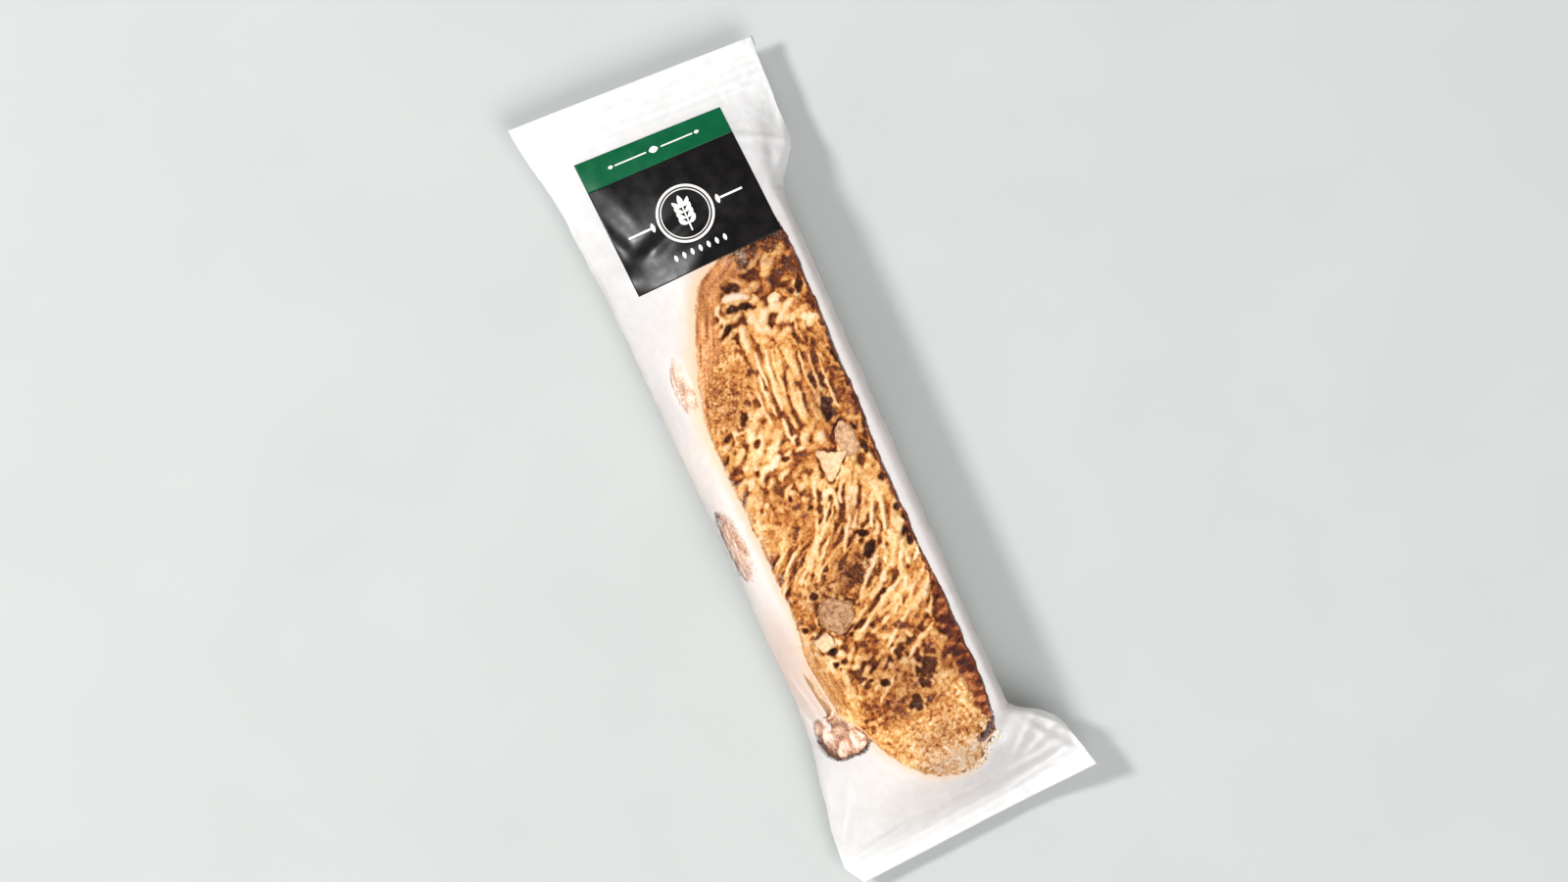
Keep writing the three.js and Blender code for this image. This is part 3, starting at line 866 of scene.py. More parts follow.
def laid(height, tone, wavy, centre, half, turn, level, own, bow=0.0):
    """Lays one rounded grain into the grid wherever it stands above what is there."""
    reach = half[0] + half[1] + abs(bow) + 1.2
    cells = int(reach / MAP_STEP) + 1
    column, row = map_cell(centre)
    near = slice(max(row - cells, 0), row + cells + 1), slice(max(column - cells, 0), column + cells + 1)
    along, across = turned(wavy[0][near] - centre[0], wavy[1][near] - centre[1], turn)
    across = across - bow * (1 - (along / half[0]) ** 2)
    inside = 1 - np.abs(along / half[0]) ** 3 - (across / half[1]) ** 2
    top = level + 0.95 * half[1] * (np.sqrt(np.clip(inside, 0, 1)) - 1)
    higher = (inside > 0) & (top > height[near])
    height[near] = np.where(higher, top, height[near])
    tone[near] = np.where(higher, own, tone[near])


def crumb_map():
    """The crumb as a heap of rounded grains and strands: its height against the cut face, and its tone."""
    x, y = np.meshgrid(*(np.arange(low, high, MAP_STEP) for low, high in zip(MAP_LOW, MAP_HIGH)))
    plan = in_plan(x, y)
    wavy = [x + 0.28 * drift(plan, 1.7, 14, octaves=3), y + 0.28 * drift(plan, 1.7, 15, octaves=3)]
    moved = plan[..., :2] + drifts(plan, 5.0, (21, 22))
    shares = np.stack([np.exp(-3 * zone_reach(moved, region) ** 2) + 1e-9 for region in CRUMB])
    shares /= shares.sum(axis=0)
    depth = np.tensordot([region["depth"] for region in CRUMB], shares, 1)
    height, tone = -depth * (1.0 - 0.3 * drift(plan, 1.1, 23, octaves=2)), np.full(x.shape, BED_TONE)
    rng = np.random.default_rng(11)
    grains = []
    for region, share in zip(CRUMB, shares):
        length, width = region["grain"]
        covered = region["cover"] * (share.sum() * MAP_STEP**2)
        for _ in range(int(GRAIN_COUNT * covered / (math.pi * length * width))):
            centre = np.array(region["at"]) + rng.uniform(-1.5, 1.5, 2) * region["half"]
            size, turn = rng.lognormal(0, 0.28), rng.normal(0, 1)
            low, own = rng.uniform(0, 1), rng.normal(0, 1)
            column, row = map_cell(centre)
            on_map = 0 <= row < x.shape[0] and 0 <= column < x.shape[1]
            if not on_map or share[row, column] < rng.uniform(0, 1):
                continue
            half = np.array([length * size * rng.uniform(0.7, 1.2), width * size])
            level = -region["depth"] * low**1.5
            grains.append((level, centre, half, region["turn"] + region["stray"] * turn, own, region["tone"]))
    for level, centre, half, turn, own, pale in grains:
        laid(height, tone, wavy, centre, half, turn, level, pale + 0.13 * own, bow=0.25 * own * half[1])
    for start, end, width in STRANDS:
        middle, run = (np.array(start) + end) / 2, np.subtract(end, start)
        turn = math.degrees(math.atan2(run[1], run[0]))
        laid(height, tone, wavy, middle, (np.hypot(*run) / 2, width), turn, 0.0, STRAND_TONE, bow=0.3)
    return plan, height, tone


def hole_reach(plan, hole, ragged):
    """Distance from a hole's centre as a share of its half lengths, with a ragged edge."""
    along, across = turned(plan[..., 0] - hole["at"][0], plan[..., 1] - hole["at"][1], hole["turn"])
    return np.hypot(along / hole["half"][0], across / hole["half"][1]) + 0.5 * ragged


def cut_face_maps():
    """Relief, never above 0, and how pale each spot is, with painted shade in hollows, holes and cracks: for
    the plain crumb, then with holes and almonds.
    """
    plan, height, tone = crumb_map()
    height = blurred(height, 0.8, 0.8) + 0.3 * (drift(plan, 4.2, 28, octaves=2) - 0.8)
    height += 0.18 * drift(plan, 0.8, 51, octaves=2)
    ragged, rough = drift(plan, 1.4, 31, octaves=2), drift(plan, 1.2, 33, octaves=2)
    broken = ramp(drift(plan, 3.4, 38), -0.1, 0.5)
    marked, tint = height, tone
    for hole in HOLES:
        inside = 1 - ramp(hole_reach(plan, hole, ragged), 0.45, 1.1)
        # Holes are cut in and painted darker the deeper they go, a painted shade.
        marked, tint = marked - hole["depth"] * inside, tint - 0.12 * hole["depth"] * inside
    for nut in NUTS:
        edge = edge_distance(plan, nut_loop(nut)) + 0.25 * rough
        # A crack round each almond piece, in places, cut into the relief and painted darker: painted shade in
        # the gap.
        inside, crack = 1 - ramp(edge, -0.6, 0.0), window(edge, -0.3, 0.15, 0.3, 0.8) * broken
        marked, tint = mix(marked, -NUT_POCKET, inside) - 0.7 * crack, mix(tint, 0.0, inside) - 0.26 * crack
    inside = 1 - ramp(hole_reach(plan, SMOOTH, ragged), 0.7, 1.1)
    along, across = turned(plan[..., 0], plan[..., 1], 90 + SMOOTH["turn"])
    streaks = drift(in_plan(0.12 * along, across), SMOOTH["streak"], 37, octaves=2)
    marked = mix(marked, 0.12 * (streaks - 1.5), 0.85 * inside)
    tint = mix(tint, SMOOTH["tone"] + 0.12 * streaks, inside)
    wash = 0.14 * drift(plan, 9.0, 29, octaves=3)
    maps = []
    for level, own in ((height, tone), (marked, tint)):
        level = np.minimum(level, 0.0)
        broad = blurred(level, 9.0, 9.0)
        hollow_shade = np.clip((level - blurred(level, 3.5, 3.5)) / 0.6, -1, 1)
        pocket_shade = np.clip((blurred(level, 2.0, 2.0) - blurred(level, 11.0, 11.0)) / 0.9, -1, 1)
        # Paler on the crumb's high spots and darker in its hollows, pockets and low places: painted shade.
        maps += [level, 0.43 + own + 0.36 * hollow_shade + 0.2 * pocket_shade + 0.1 * (broad + 0.8) + wash]
    return maps


def sampled(field, x, y):
    """A map's values at points, by the four cells round each."""
    column = np.clip((x - MAP_LOW[0]) / MAP_STEP, 0, field.shape[1] - 1.001)
    row = np.clip((y - MAP_LOW[1]) / MAP_STEP, 0, field.shape[0] - 1.001)
    i, j = row.astype(int), column.astype(int)
    u, v = column - j, row - i
    return mix(mix(field[i, j], field[i, j + 1], u), mix(field[i + 1, j], field[i + 1, j + 1], u), v)


def crust_relief(points):
    """Relief of the baked outside: soft lumps, with fine cracks."""
    lumps = 0.35 * (drift(points, 5.5, seed=61, octaves=2) - 1)
    first, second, _ = cellular(points / 2.4, seed=66)
    cracks = 0.28 * (1 - ramp(second - first, 0.0, 0.22))
    return lumps - cracks - 0.06 * (1 + drift(points, 0.8, seed=69))


def zoned(points, zones, wander):
    """The largest share that any zone has at each point, fading out at a ragged edge."""
    most = np.zeros(len(points))
    for zone in zones:
        far = zone_reach(points, zone) + 0.4 * wander
        most = np.maximum(most, zone["share"] * (1 - ramp(far, 0.4, 1.15)))
    return most


def biscuit():
    """The slice, pressed in under the film and given its crumb and crust."""
    points, faces = slice_skin()
    points = kept_inside(pressed_under(points, WRAPPER, SLICE_CLEARANCE), WRAPPER, SLICE_CLEARANCE)
    piece = mesh_piece("biscotti", points, faces)
    normals = normals_of(piece)
    rim = -edge_distance(points, smooth_loop(CUT_FACE, 4))
    x, y = points[:, 0], points[:, 1]
    cut = ramp(np.abs(normals[:, 2]), 0.4, 0.7)
    domed = x < 5
    grown = window(y, 12, 34, 50, 60)
    right_band = mix(*CRUST_BAND["right"], ramp(-y, 34, 46)) * (1 - ramp(-y, 66, 74))
    band = np.where(domed, mix(*CRUST_BAND["left"], grown), right_band + 0.05)
    wander = drift(points, 3.0, seed=81, octaves=2)
    broken = 0.5 * wander + 0.5 * drift(points, 0.9, seed=89, octaves=2)
    fray = np.where(domed, mix(0.6, 1.6, grown) * wander, broken)
    crusty = 1 - ramp(rim + fray, np.where(domed, 0.45, 0.7) * band, band)
    lines = drift(in_plan(rim / 0.5, y / 5.0), 1.0, seed=85, octaves=2)
    plain, plain_tone, marked, marked_tone = cut_face_maps()
    back = normals[:, 2] < 0
    relief = np.where(back, sampled(plain, x, y), sampled(marked, x, y))
    pale = np.where(back, sampled(plain_tone, x, y), sampled(marked_tone, x, y))
    relief = relief * mix(0.3, 1.0, ramp(rim, 0.0, 1.2)) * (1 - 0.8 * crusty * domed)
    relief += 0.14 * crusty * (lines - 1)
    move_points(piece, points + normals * mix(crust_relief(points), relief, cut)[:, None])
    # Side walls are painted paler on the left, a painted glow of light through the film, and darker where the
    # crust band grows and towards the right; they also vary at random.
    side_tone_and_glow = mix(0.9, 0.5, np.maximum(0.6 * grown, ramp(x, 0, 8)))
    side_tone_and_glow += 0.2 * drift(points, 2.0, 83, octaves=2)
    # The crust is painted paler along the edge of the cut face, a painted glow; its lines are its grain and
    # wander a random tone.
    crust_tone = np.clip(0.4 + 0.32 * lines + 0.15 * wander + 0.3 * (1 - ramp(rim, 0.0, 1.6)), 0, 1)
    ticks = drift(in_plan(x / 1.8, y / 0.9), 1.0, seed=87, octaves=3)
    right_tone = 0.33 + 0.55 * ticks + 0.4 * (pale - 0.5)
    crust_tone = np.where(domed, crust_tone, right_tone)
    paint(
        piece, pale=np.clip(mix(side_tone_and_glow, mix(pale, crust_tone, crusty), cut), 0, 1),
        baked=np.maximum(crusty, 1 - cut), dark=ramp(x, 4, 12),
        dull=zoned(points, DULL, wander), sandy=zoned(points, SANDY, wander),
    )
    return piece, points, faces


def crust_almond(name, tone, balls):
    """An almond that stands out of the crust, wrinkled and with crust clinging to it, its grooves painted
    darker as shade.
    """
    points, faces = remade([ball(centre, radii, turn) for centre, radii, turn in balls], voxel=0.34)
    points = kept_inside(points, WRAPPER, SLICE_CLEARANCE)
    piece = mesh_piece(name, points, faces)
    relaxed(piece, rounds=3)
    points, normals = points_of(piece), normals_of(piece)
    chunky = len(balls) > 1
    warped = points + 1.1 * drifts(points, 2.2, (63, 64, 65))
    first, second, own = cellular(warped / (3.9 if chunky else 4.2), seed=66)
    grooves = 1 - ramp(second - first, 0.0, 0.55)
    wrinkles = drift(points * (1, 0.35, 1), 1.1, 69, octaves=3)
    relief = -(0.8 if chunky else 0.15) * grooves + 0.12 * (wrinkles - 1)
    move_points(piece, points + normals * relief[:, None])
    centre, radii = np.array(balls[0][0]), np.array(balls[0][1])
    reach = (points[:, :2] - centre[:2]) / radii[:2]
    edge = (0.72, 0.98) if chunky else (0.82, 0.96)
    outer = ramp(np.hypot(*reach.T), *edge) * ramp(-reach @ (0.5, 0.86) if chunky else -reach[:, 0], 0.0, 0.5)
    # Darker in the grooves, a painted shade; the knob is also painted darker along its rim on the foot side,
    # a painted shade, and the other almonds darker along their left rim.
    if chunky:
        pale = tone + 0.38 * own - 0.42 * grooves - 0.9 * outer + 0.2 * wrinkles
    else:
        pale = tone - 0.15 * grooves - 0.55 * outer + 0.24 * wrinkles
    paint(piece, pale=np.clip(pale, 0, 1))
    return piece, (points, faces)


def nut_piece(number, nut):
    """An almond piece in the cut face, with broken sides and a slightly domed face."""
    top, loop = CUT_TOP - nut["below"], nut_loop(nut)
    middle = loop.mean(axis=0)
    profile = ((NUT_THICKNESS, 0.75), (NUT_THICKNESS / 2, 1.0), (0.6, 1.05), (0.12, 1.0), (0.0, 0.88))
    rings = []
    for down, share in profile:
        rings.append(np.column_stack([middle + (loop - middle) * share, np.full(len(loop), top - down)]))
    points, faces = remade([lofted(rings)], voxel=0.28)
    piece = mesh_piece(f"almond_{number}", points, faces)
    points, normals = points_of(piece), normals_of(piece)
    rough = 0.32 * (drift(points + 9 * number, 1.3, seed=91, octaves=3) - 0.8)
    move_points(piece, points + normals * rough[:, None])
    ragged = edge_distance(points, loop) + 0.5 * drift(points, 1.6, seed=95, octaves=2)
    paint(piece, tone=np.full(len(points), nut["tone"]), rim=ramp(ragged, -0.6, 0.2))
    return piece


def loose_crumbs():
    """Crumbs shed round the slice's foot, lying against the film."""
    rng = np.random.default_rng(31)
    outline = smooth_loop(CUT_FACE, 6)
    outward = outward_of(outline)
    foot = np.flatnonzero((outline[:, 1] < -74.5) & (outline[:, 0] > -5))
    shells = []
    for _ in range(LOOSE_CRUMBS):
        k = rng.choice(foot)
        away, size = rng.exponential(0.5), rng.uniform(0.2, 0.6)
        spot = outline[k] + outward[k] * (away - 0.3) + rng.normal(0, 0.3, 2)
        top = height_at(WRAPPER, *spot, 1)
        radii = size * rng.uniform(0.7, 1.3, 3)
        centre = (*spot, top - CRUMB_CLEARANCE - radii[2])
        points, faces = ball(centre, radii, rng.uniform(0, 180), around=9, up=6)
        shells.append((points + 0.35 * size * drifts(points, size, (45, 46, 47)), faces))
    points, faces = joined(shells)
    return mesh_piece("crumbs", points, faces), (points, faces)


def crumbs_surface():
    s = Surface("loose_crumb")
    fine = s.noise(0.4, detail=3.0)
    colour = s.blend(s.spread(fine, 0.3, 0.7), rgb(252, 240, 224), rgb(230, 202, 168))
    return s.shows(s.coat(colour, s.spread(fine, 0.2, 0.8, 0.65, 0.9), s.bump(fine, 0.2, 0.5), 0.3))


def almond_skin_surface():
    s = Surface("almond_skin")
    fine = s.noise(0.5, detail=3.0)
    pale = s.math("ADD", s.number("pale"), s.spread(fine, 0.3, 0.7, -0.15, 0.15), clamp=True)
    skin = s.colours(
        pale, (0.0, rgb(78, 50, 42)), (0.35, rgb(148, 101, 76)),
        (0.65, rgb(205, 163, 136)), (0.95, rgb(247, 227, 210)),
    )
    return s.shows(s.coat(skin, s.spread(fine, 0.2, 0.8, 0.5, 0.75), s.bump(fine, 0.2, 0.5), 0.35))


def almond_surface():
    s = Surface("almond")
    fine = s.noise(0.9, detail=4.0, roughness=0.75)
    tone = s.number("tone")
    flesh = s.colours(tone, (0.0, rgb(186, 144, 104)), (0.5, rgb(220, 182, 142)), (1.0, rgb(250, 228, 186)))
    speckled = s.math("MULTIPLY", s.spread(fine, 0.36, 0.62, 1.0, 0.0), s.spread(tone, 0.2, 0.9, 1.0, 0.35))
    flesh = s.blend(speckled, flesh, s.blend(1.0, flesh, rgb(166, 132, 102), how="MULTIPLY"))
    colour = s.blend(s.math("MULTIPLY", s.number("rim"), 0.35), flesh, rgb(150, 92, 44))
    return s.shows(s.coat(colour, s.spread(fine, 0.2, 0.8, 0.5, 0.7), s.bump(fine, 0.3, 0.7), 0.35))


def biscuit_surface():
    s = Surface("baked_crumb")
    fine = s.noise(0.6, detail=4.0, roughness=0.7)
    broad = s.noise(7.0, detail=2.0)
    coarseness = s.spread(s.number("sandy"), 0.0, 1.0, 0.13, 0.23)
    speckle = s.math("MULTIPLY", s.spread(fine, 0.34, 0.66, -1.0, 1.0), coarseness)
    pale = s.math("ADD", s.number("pale"), speckle, clamp=True)
    crumb = s.colours(
        pale,
        (0.0, rgb(84, 38, 8)), (0.18, rgb(146, 78, 24)), (0.36, rgb(192, 126, 60)),
        (0.54, rgb(218, 166, 98)), (0.76, rgb(241, 206, 150)), (1.0, rgb(253, 234, 206)),
    )
    warm = s.blend(s.spread(broad, 0.35, 0.7), rgb(250, 250, 246), rgb(236, 214, 190))
    crumb = s.blend(0.7, crumb, warm, how="MULTIPLY")
    dulled = s.blend(1.0, crumb, rgb(208, 206, 238), how="MULTIPLY")
    crumb = s.blend(s.number("dull"), crumb, dulled)
    golden = s.colours(pale, (0.0, rgb(120, 62, 22)), (0.5, rgb(210, 146, 88)), (1.0, rgb(250, 218, 174)))
    deep = s.colours(pale, (0.0, rgb(58, 14, 0)), (0.5, rgb(126, 58, 16)), (1.0, rgb(206, 134, 80)))
    crust = s.blend(s.number("dark"), golden, deep)
    grain = s.math("ADD", fine, s.math("MULTIPLY", s.noise(0.22, detail=2.0), 0.6))
    colour, rough = s.blend(s.number("baked"), crumb, crust), s.spread(fine, 0.2, 0.8, 0.62, 0.92)
    return s.shows(s.coat(colour, rough, s.bump(grain, 0.35, 0.7), 0.3))


def film_surface():
    s = Surface("clear_film")
    cloud = s.noise(2.2, detail=3.0)
    speck = s.noise(0.6, detail=2.0)
    gap = s.math("ADD", s.number("stand_off"), s.spread(cloud, 0.3, 0.7, -0.25, 0.25))
    gap = s.math("ADD", gap, s.spread(speck, 0.35, 0.65, -0.22, 0.22))
    haze = s.spread(gap, 0.6, 1.9, 0.0, 0.95)
    crinkle = s.noise(1.1, detail=3.0, stretch=(1, 0.5, 1))
    normal = s.bump(crinkle, 0.1, 0.35)
    shine = s.add("Fresnel", {"IOR": 1.3, "Normal": normal}).outputs[0]
    glint = s.add("BsdfGlossy", {"Color": (1, 1, 1, 1), "Roughness": 0.15, "Normal": normal})
    clear = s.add("MixShader", {0: shine, 1: s.add("BsdfTransparent").outputs[0], 2: glint.outputs[0]})
    tint = s.blend(s.spread(cloud, 0.35, 0.7), rgb(244, 243, 243), rgb(239, 238, 237))
    # A reddish blush painted into the film's colour: painted light from the slice behind it.
    tint = s.blend(s.number("blush"), tint, rgb(226, 200, 186))
    # A cream glow painted into the film's colour beside the slice: painted light scattered from it.
    tint = s.blend(s.number("glow"), tint, rgb(252, 222, 190))
    milky = s.coat(tint, s.spread(crinkle, 0.3, 0.7, 0.4, 0.55), normal, 0.3)
    through = s.add("BsdfTranslucent", {"Color": tint, "Normal": normal})
    sheet = s.add("MixShader", {0: 0.45, 1: milky.outputs[0], 2: through.outputs[0]})
    return s.shows(s.add("MixShader", {0: haze, 1: clear.outputs[0], 2: sheet.outputs[0]}))


# Where the film is cloudier or clearer than its distance from the slice makes it, by so many millimetres more
VEILS = table(
    "at half more",
    ((-18.3, 24.0), (2.6, 12.0), 0.2),
    ((-18.8, -13.6), (1.2, 14.0), 0.5),
    ((-10.6, 24.2), (6.5, 11.0), 0.1),
    ((6.4, 45.7), (11.0, 4.0), 0.15),
    ((4.6, 45.6), (3.6, 3.0), 0.25),
    ((3.4, -78.5), (9.0, 4.5), -0.35),
    ((-17.4, -12.0), (3.0, 26.0), 0.35),
    ((14.6, -54.0), (2.6, 24.0), -0.25),
    ((-7.6, -13.8), (6.0, 3.5), 0.1),
)
# Where the film lies on an almond beside the slice
CLEAR = table(
    "at half share",
    ((-18.5, -61.3), (7.5, 7.5), 1.0),
    ((-22.3, -13.6), (2.9, 12.5), 1.0),
    ((-18.3, 24.0), (2.6, 12.5), 0.9),
)
FAR_BEHIND = 9.0  # as far as the film looks for what lies behind it
# Where the film is painted reddish, a painted glow of the slice's colour through it
PAINTED_BLUSH = dict(at=(-21.5, -44.0), half=(5.0, 18.0), share=0.5)
# Folds that show as white streaks over the slice, and one clear streak between them: height adds haze
STREAKS = table(
    "a b width height",
    ((-19.5, -39.5), (-17.2, -60.5), 0.42, 1.7),
    ((-22.6, -47.5), (-20.2, -61.0), 0.5, 1.2),
    ((-18.6, -56.0), (-13.8, -66.0), 0.35, 0.5),
    ((-16.5, -37.0), (-17.6, -46.0), 0.4, 0.7),
    ((-21.2, -41.0), (-19.0, -58.0), 0.4, -9.0),
)


def depth_behind(tree, points, normals):
    """How far a skin lies behind each point of the film.

    Where the film lies flat, that is straight behind it, and where it stands upright, to the nearest spot.
    """
    close = nearest(tree, points)[2]
    straight = np.full(len(points), FAR_BEHIND)
    for k in np.flatnonzero(np.abs(normals[:, 2]) > 0.15):
        hit = tree.ray_cast(Vector(points[k]), Vector((0, 0, -math.copysign(1, normals[k, 2]))), FAR_BEHIND)
        if hit[0] is not None:
            straight[k] = hit[3]
    return mix(close, straight, ramp(np.abs(normals[:, 2]), 0.15, 0.5))


def film_piece(smooth_slice):
    piece = mesh_piece("film", *film_skin())
    points, normals = points_of(piece), normals_of(piece)
    upright = 1 - ramp(np.abs(normals[:, 2]), 0.25, 0.75)
    crinkles = 0.22 * drift(points * (1, 1, 0.3), 3.2, seed=101, octaves=2)
    crinkles += 0.08 * drift(points, 1.2, seed=103)
    move_points(piece, points + normals * (upright * crinkles)[:, None])
    points, normals = points_of(piece), normals_of(piece)
    gap = depth_behind(smooth_slice, points, normals)
    gap += 2.5 * ramp(points[:, 0], 8, 14) * window(normals[:, 2], 0.1, 0.3, 0.55, 0.85)
    upper = normals[:, 2] > 0
    beside = edge_distance(points, smooth_loop(CUT_FACE, 4)) + 0.35 * drift(points, 1.3, 71, octaves=2)
    halo = 2.0 * ramp(beside, -1.1, 0.4) * (1 - ramp(points[:, 0], 2, 9)) * upper
    for clear in CLEAR:
        halo *= 1 - clear["share"] * (1 - ramp(zone_reach(points, clear), 0.85, 1.2))
    gap += halo
    gap += sum(crease(points[:, 0], points[:, 1], **streak) for streak in STREAKS) * upper
    for veil in VEILS:
        gap += veil["more"] * (1 - ramp(zone_reach(points, veil), 0.5, 1.1)) * upper
    gap += 1.3 * on_seam(points[:, 0]) * (normals[:, 2] < -0.5)
    # The painted glow: cream beside the slice's edge, wider towards the head and faint on the right, light
    # from the slice painted on the film.
    head_side = ramp(points[:, 1], -6, 20)
    glow = (1 - ramp(beside, -0.5, mix(1.6, 4.5, head_side))) * mix(0.75, 1.0, head_side)
    glow *= 1 - 0.9 * ramp(points[:, 0], 6, 12)
    blush = PAINTED_BLUSH["share"] * (1 - ramp(zone_reach(points, PAINTED_BLUSH), 0.4, 1.1))
    paint(piece, stand_off=gap, glow=glow, blush=blush)
    return piece


# ---- label ----


def draped(tree, corners, across, down, lift, thickness):
    """A thin closed patch between four corners in plan, laid on a skin."""
    foot_left, foot_right, head_left, head_right = [corner[:2] for corner in corners]
    u, v = np.meshgrid(np.linspace(0, 1, across + 1), np.linspace(0, 1, down + 1))
    u, v = u[..., None], v[..., None]
    plan = mix(mix(foot_left, foot_right, u), mix(head_left, head_right, u), v).reshape(-1, 2)
    z = np.array([height_at(tree, x, y, 1) for x, y in plan])
    under = np.column_stack([plan, z + lift])
    over = np.column_stack([plan, z + lift + thickness])
    row, count = across + 1, len(plan)
    faces = []
    for j in range(down):
        for i in range(across):
            a = j * row + i
            faces.append([a + count, a + 1 + count, a + row + 1 + count, a + row + count])
            faces.append([a, a + row, a + row + 1, a + 1])
    border = list(range(across)) + [j * row + across for j in range(down)]
    border += [down * row + i for i in range(across, 0, -1)] + [j * row for j in range(down, 0, -1)]
    for a, b in zip(border, border[1:] + border[:1]):
        faces.append([a, b, b + count, a + count])
    return np.concatenate([under, over]), faces


def ribbon(middle, half):
    """The two rails of a band of that half width at each point along a line in plan."""
    ahead = np.gradient(middle, axis=0)
    ahead /= np.linalg.norm(ahead, axis=1)[:, None]
    outward = np.column_stack([-ahead[:, 1], ahead[:, 0]]) * np.asarray(half)[:, None]
    return middle + outward, middle - outward


def lens(start, end, half, bow=0.0, steps=9):
    """A pointed leaf from one point to another."""
    t = np.linspace(0, 1, steps)
    start, end = np.array(start, float), np.array(end, float)
    across = np.array([start[1] - end[1], end[0] - start[0]])
    middle = start + (end - start) * t[:, None] + across * (bow * np.sin(math.pi * t))[:, None]
    return ribbon(middle, half * np.sin(math.pi * mix(0.02, 0.98, t)) ** 0.8)


def rule(start, end, half, steps=15):
    return ribbon(np.linspace(start, end, steps), np.full(steps, half))


def label_marks():
    """Plain ornaments from the label's middle: an ear of wheat in a ring, rules and lozenges."""
    angle = np.linspace(0, 2 * math.pi, 49)
    ring = np.column_stack([np.cos(angle), np.sin(angle)])
    marks = [ribbon(ring * 6.4, np.full(49, 0.28)), ribbon(ring * 5.6, np.full(49, 0.12))]
    marks += [rule((0, -4.2), (0, 2.2), 0.16), lens((0, 1.4), (0, 4.4), 0.62)]
    for k in range(4):
        y = -2.4 + 1.35 * k
        marks += [lens((0.15 * side, y), (1.9 * side, y + 1.75), 0.52, bow=-0.12 * side) for side in (-1, 1)]
    for side in (-1, 1):
        marks.append(rule((8.6 * side, 0), (14.0 * side, 0), 0.24))
        marks.append(lens((8.0 * side, -1.1), (8.0 * side, 1.1), 0.5))
    marks += [lens((x, -9.4), (x, -7.8), 0.42) for x in np.linspace(-6, 6, 7)]
    return marks


def band_marks():
    """Those in the green band."""
    marks = [rule((side * 1.8, 0), (side * 9.5, 0), 0.16) for side in (-1, 1)]
    dots = ((-1.1, 1.1, 0.75), (9.9, 11.1, 0.4), (-11.1, -9.9, 0.4))
    return marks + [lens((start, 0), (end, 0), half) for start, end, half in dots]


def marks_laid(tree, marks, corners, lift, thickness):
    """Marks laid on a skin, about the middle of four corners and squared to them, as closed shells."""
    foot_left, foot_right, head_left, head_right = [np.array(corner[:2]) for corner in corners]
    middle = (foot_left + foot_right + head_left + head_right) / 4
    right = (foot_right + head_right - foot_left - head_left) / 2
    right /= np.linalg.norm(right)
    up = np.array([-right[1], right[0]])
    shells = []
    for rails in marks:
        plan = [middle + rail[:, :1] * right + rail[:, 1:] * up for rail in rails]
        rails_laid = [
            np.column_stack([rail, [height_at(tree, *spot, 1) + raised for spot in rail]])
            for raised in (lift, lift + thickness) for rail in plan
        ]
        count = len(plan[0])
        section = [0, 1, 3, 2]  # round the strip: lower left, lower right, upper right, upper left
        faces = []
        for a in range(count - 1):
            for p, q in zip(section, section[1:] + section[:1]):
                faces.append([p * count + a, p * count + a + 1, q * count + a + 1, q * count + a])
        faces += [[k * count for k in section], [k * count + count - 1 for k in section[::-1]]]
        shells.append((np.concatenate(rails_laid), faces))
    return joined(shells)


def mark_surface():
    s = Surface("unprinted_film")
    mottle = s.noise(1.5, detail=3.0)
    tint = s.blend(s.spread(mottle, 0.3, 0.7), rgb(236, 232, 227), rgb(222, 218, 214))
    return s.shows(s.coat(tint, s.spread(mottle, 0.3, 0.7, 0.4, 0.5), s.bump(s.noise(0.8), 0.04, 0.2), 0.25))


def label_surface(name, colour, sheen):
    s = Surface(name)
    mottle = s.noise(3.0, detail=3.0)
    tint = s.blend(s.spread(mottle, 0.3, 0.75), rgb(*colour), rgb(*sheen))
    normal = s.bump(s.noise(1.2, detail=2.0, stretch=(1, 0.5, 1)), 0.04, 0.2)
    return s.shows(s.coat(tint, s.spread(mottle, 0.3, 0.7, 0.26, 0.34), normal, 0.17))


# ---- stage ----


def photo_directions():
    """The picture's right and up, in the part's frame."""
    a = math.radians(PHOTO_TURN)
    return Vector((math.cos(a), math.sin(a), 0)), Vector((-math.sin(a), math.cos(a), 0))


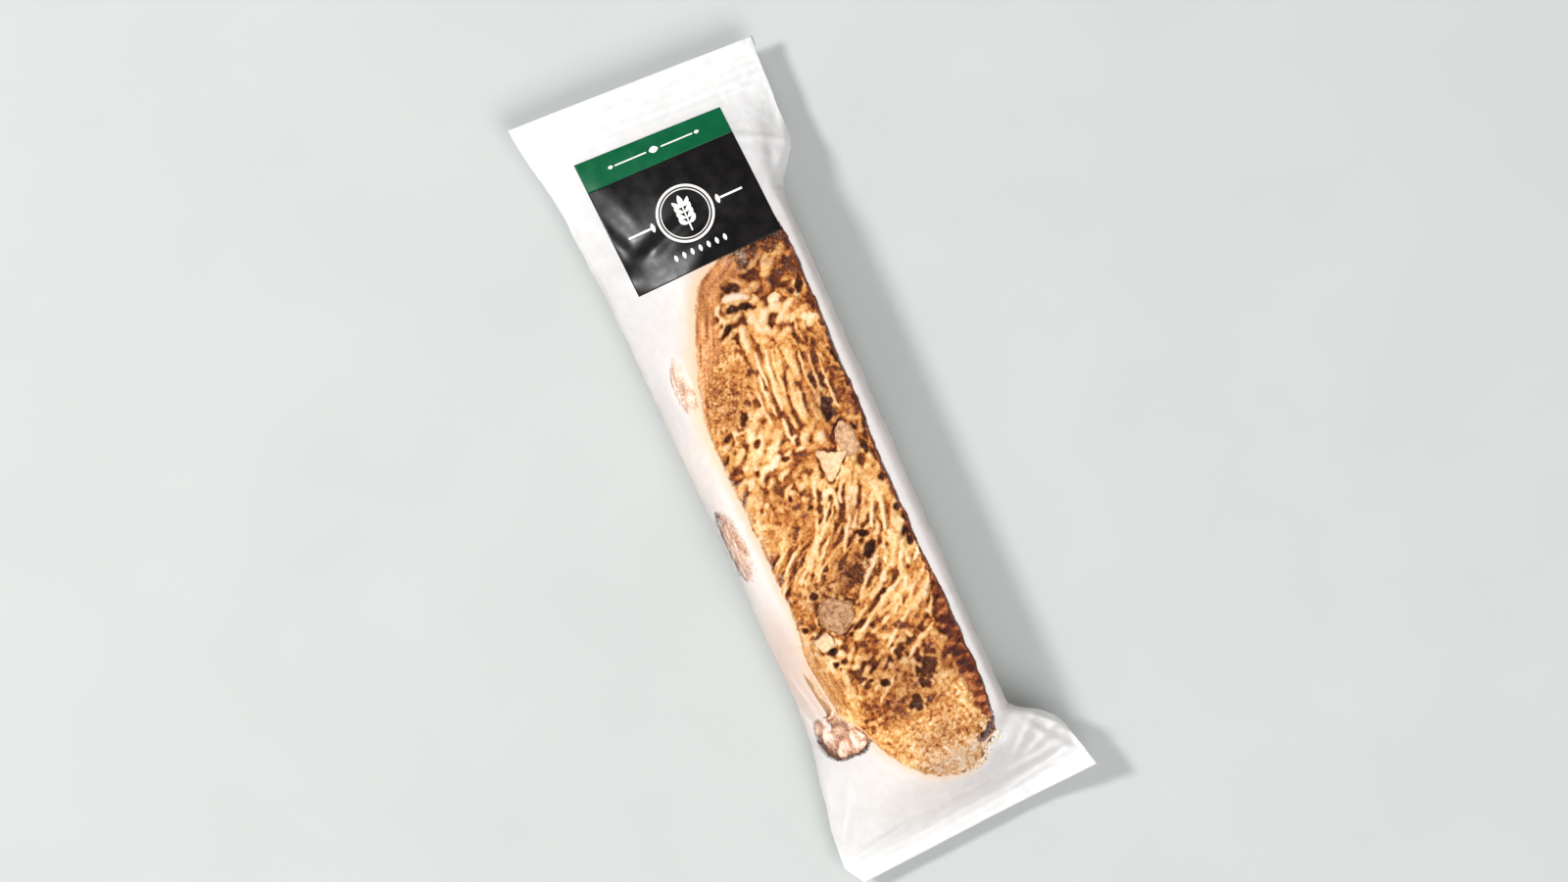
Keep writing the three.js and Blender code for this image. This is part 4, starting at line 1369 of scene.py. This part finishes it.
def stage():
    scene = bpy.context.scene
    camera = bpy.data.objects.new("camera", bpy.data.cameras.new("camera"))
    camera.data.sensor_width = SENSOR_WIDTH
    camera.data.lens = SENSOR_WIDTH * (CAMERA_HEIGHT - PACK_HEIGHT) / PHOTO_WIDTH_MM
    camera.location = Vector((*PHOTO_CENTRE, CAMERA_HEIGHT)) * MM
    camera.rotation_euler = (0, 0, math.radians(PHOTO_TURN))
    scene.collection.objects.link(camera)
    scene.camera = camera

    corners = [(FLOOR_REACH * x, FLOOR_REACH * y, 0) for x, y in ((-1, -1), (1, -1), (1, 1), (-1, 1))]
    floor = mesh_piece("floor", corners, [(0, 1, 2, 3)], smooth=False)
    s = Surface("floor")
    tone = s.blend(s.noise(40.0, detail=2.0), rgb(172, 176, 174), rgb(180, 183, 181))
    floor.data.materials.append(s.shows(s.add("BsdfPrincipled", {"Base Color": tone, "Roughness": 0.9})))

    right, up = photo_directions()
    for name, toward, height, size, watts in (
        ("key", -0.97 * right + 0.2 * up, 1060.0, 240.0, 19.0),
        ("fill", 0.6 * right - 0.8 * up, 1500.0, 1200.0, 25.0),
    ):
        lamp = bpy.data.objects.new(name, bpy.data.lights.new(name, "AREA"))
        lamp.data.size = size * MM
        lamp.data.energy = watts
        lamp.location = (toward * LAMP_REACH + Vector((0, 0, height))) * MM
        lamp.rotation_euler = (-lamp.location).to_track_quat("-Z", "Y").to_euler()
        scene.collection.objects.link(lamp)
    world = bpy.data.worlds.new("studio")
    world.use_nodes = True
    world.node_tree.nodes["Background"].inputs["Color"].default_value = (1, 1, 1, 1)
    world.node_tree.nodes["Background"].inputs["Strength"].default_value = 0.5
    scene.world = world
    scene.view_settings.view_transform = "Standard"
    scene.cycles.use_denoising = True
    scene.cycles.transparent_max_bounces = 24


def dress(piece, material, slot, *nodes):
    """Gives a piece its material, hides the CAD nodes it stands for, and fixes it to the part; its slot is
    not used.
    """
    piece.data.materials.append(material)
    if nodes:
        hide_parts(*nodes)
    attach(piece, "root")


stage()
slice_piece, *slice_form = biscuit()
dress(slice_piece, biscuit_surface(), "biscuit")
shed, shed_form = loose_crumbs()
dress(shed, crumbs_surface(), "biscuit")
forms = [slice_form, shed_form]
skin_material = almond_skin_surface()
for name, (tone, balls) in CRUST_ALMONDS.items():
    knob, form = crust_almond(name, tone, balls)
    dress(knob, skin_material, "almond")
    forms.append(form)
form_points, form_faces = joined(forms)
film = film_piece(BVHTree.FromPolygons(form_points.tolist(), form_faces))
dress(film, film_surface(), "film", "wrapper")
film_tree = tree_of(film)
almond_material = almond_surface()
for number, nut in enumerate(NUTS, 1):
    dress(nut_piece(number, nut), almond_material, "almond")
band, panel = plan_corners("label_band"), plan_corners("label_panel")
for node, corners, slot, colour, sheen, down in (
    ("label_band", band, "label_green", (0, 80, 50), (2, 86, 55), 24),
    ("label_panel", panel[:2] + band[:2], "label_black", (14, 12, 12), (24, 21, 21), 90),
):
    patch = draped(film_tree, corners, LABEL_COLUMNS, down, PRINT_LIFT, PRINT_THICKNESS)
    print_piece = mesh_piece(node.replace("label", "print"), *patch)
    dress(print_piece, label_surface(node, colour, sheen), slot, node)
marks = [
    marks_laid(film_tree, drawn, corners, MARK_LIFT, MARK_THICKNESS)
    for drawn, corners in ((label_marks(), panel), (band_marks(), band))
]
dress(mesh_piece("print_marks", *joined(marks), smooth=False), mark_surface(), "film")
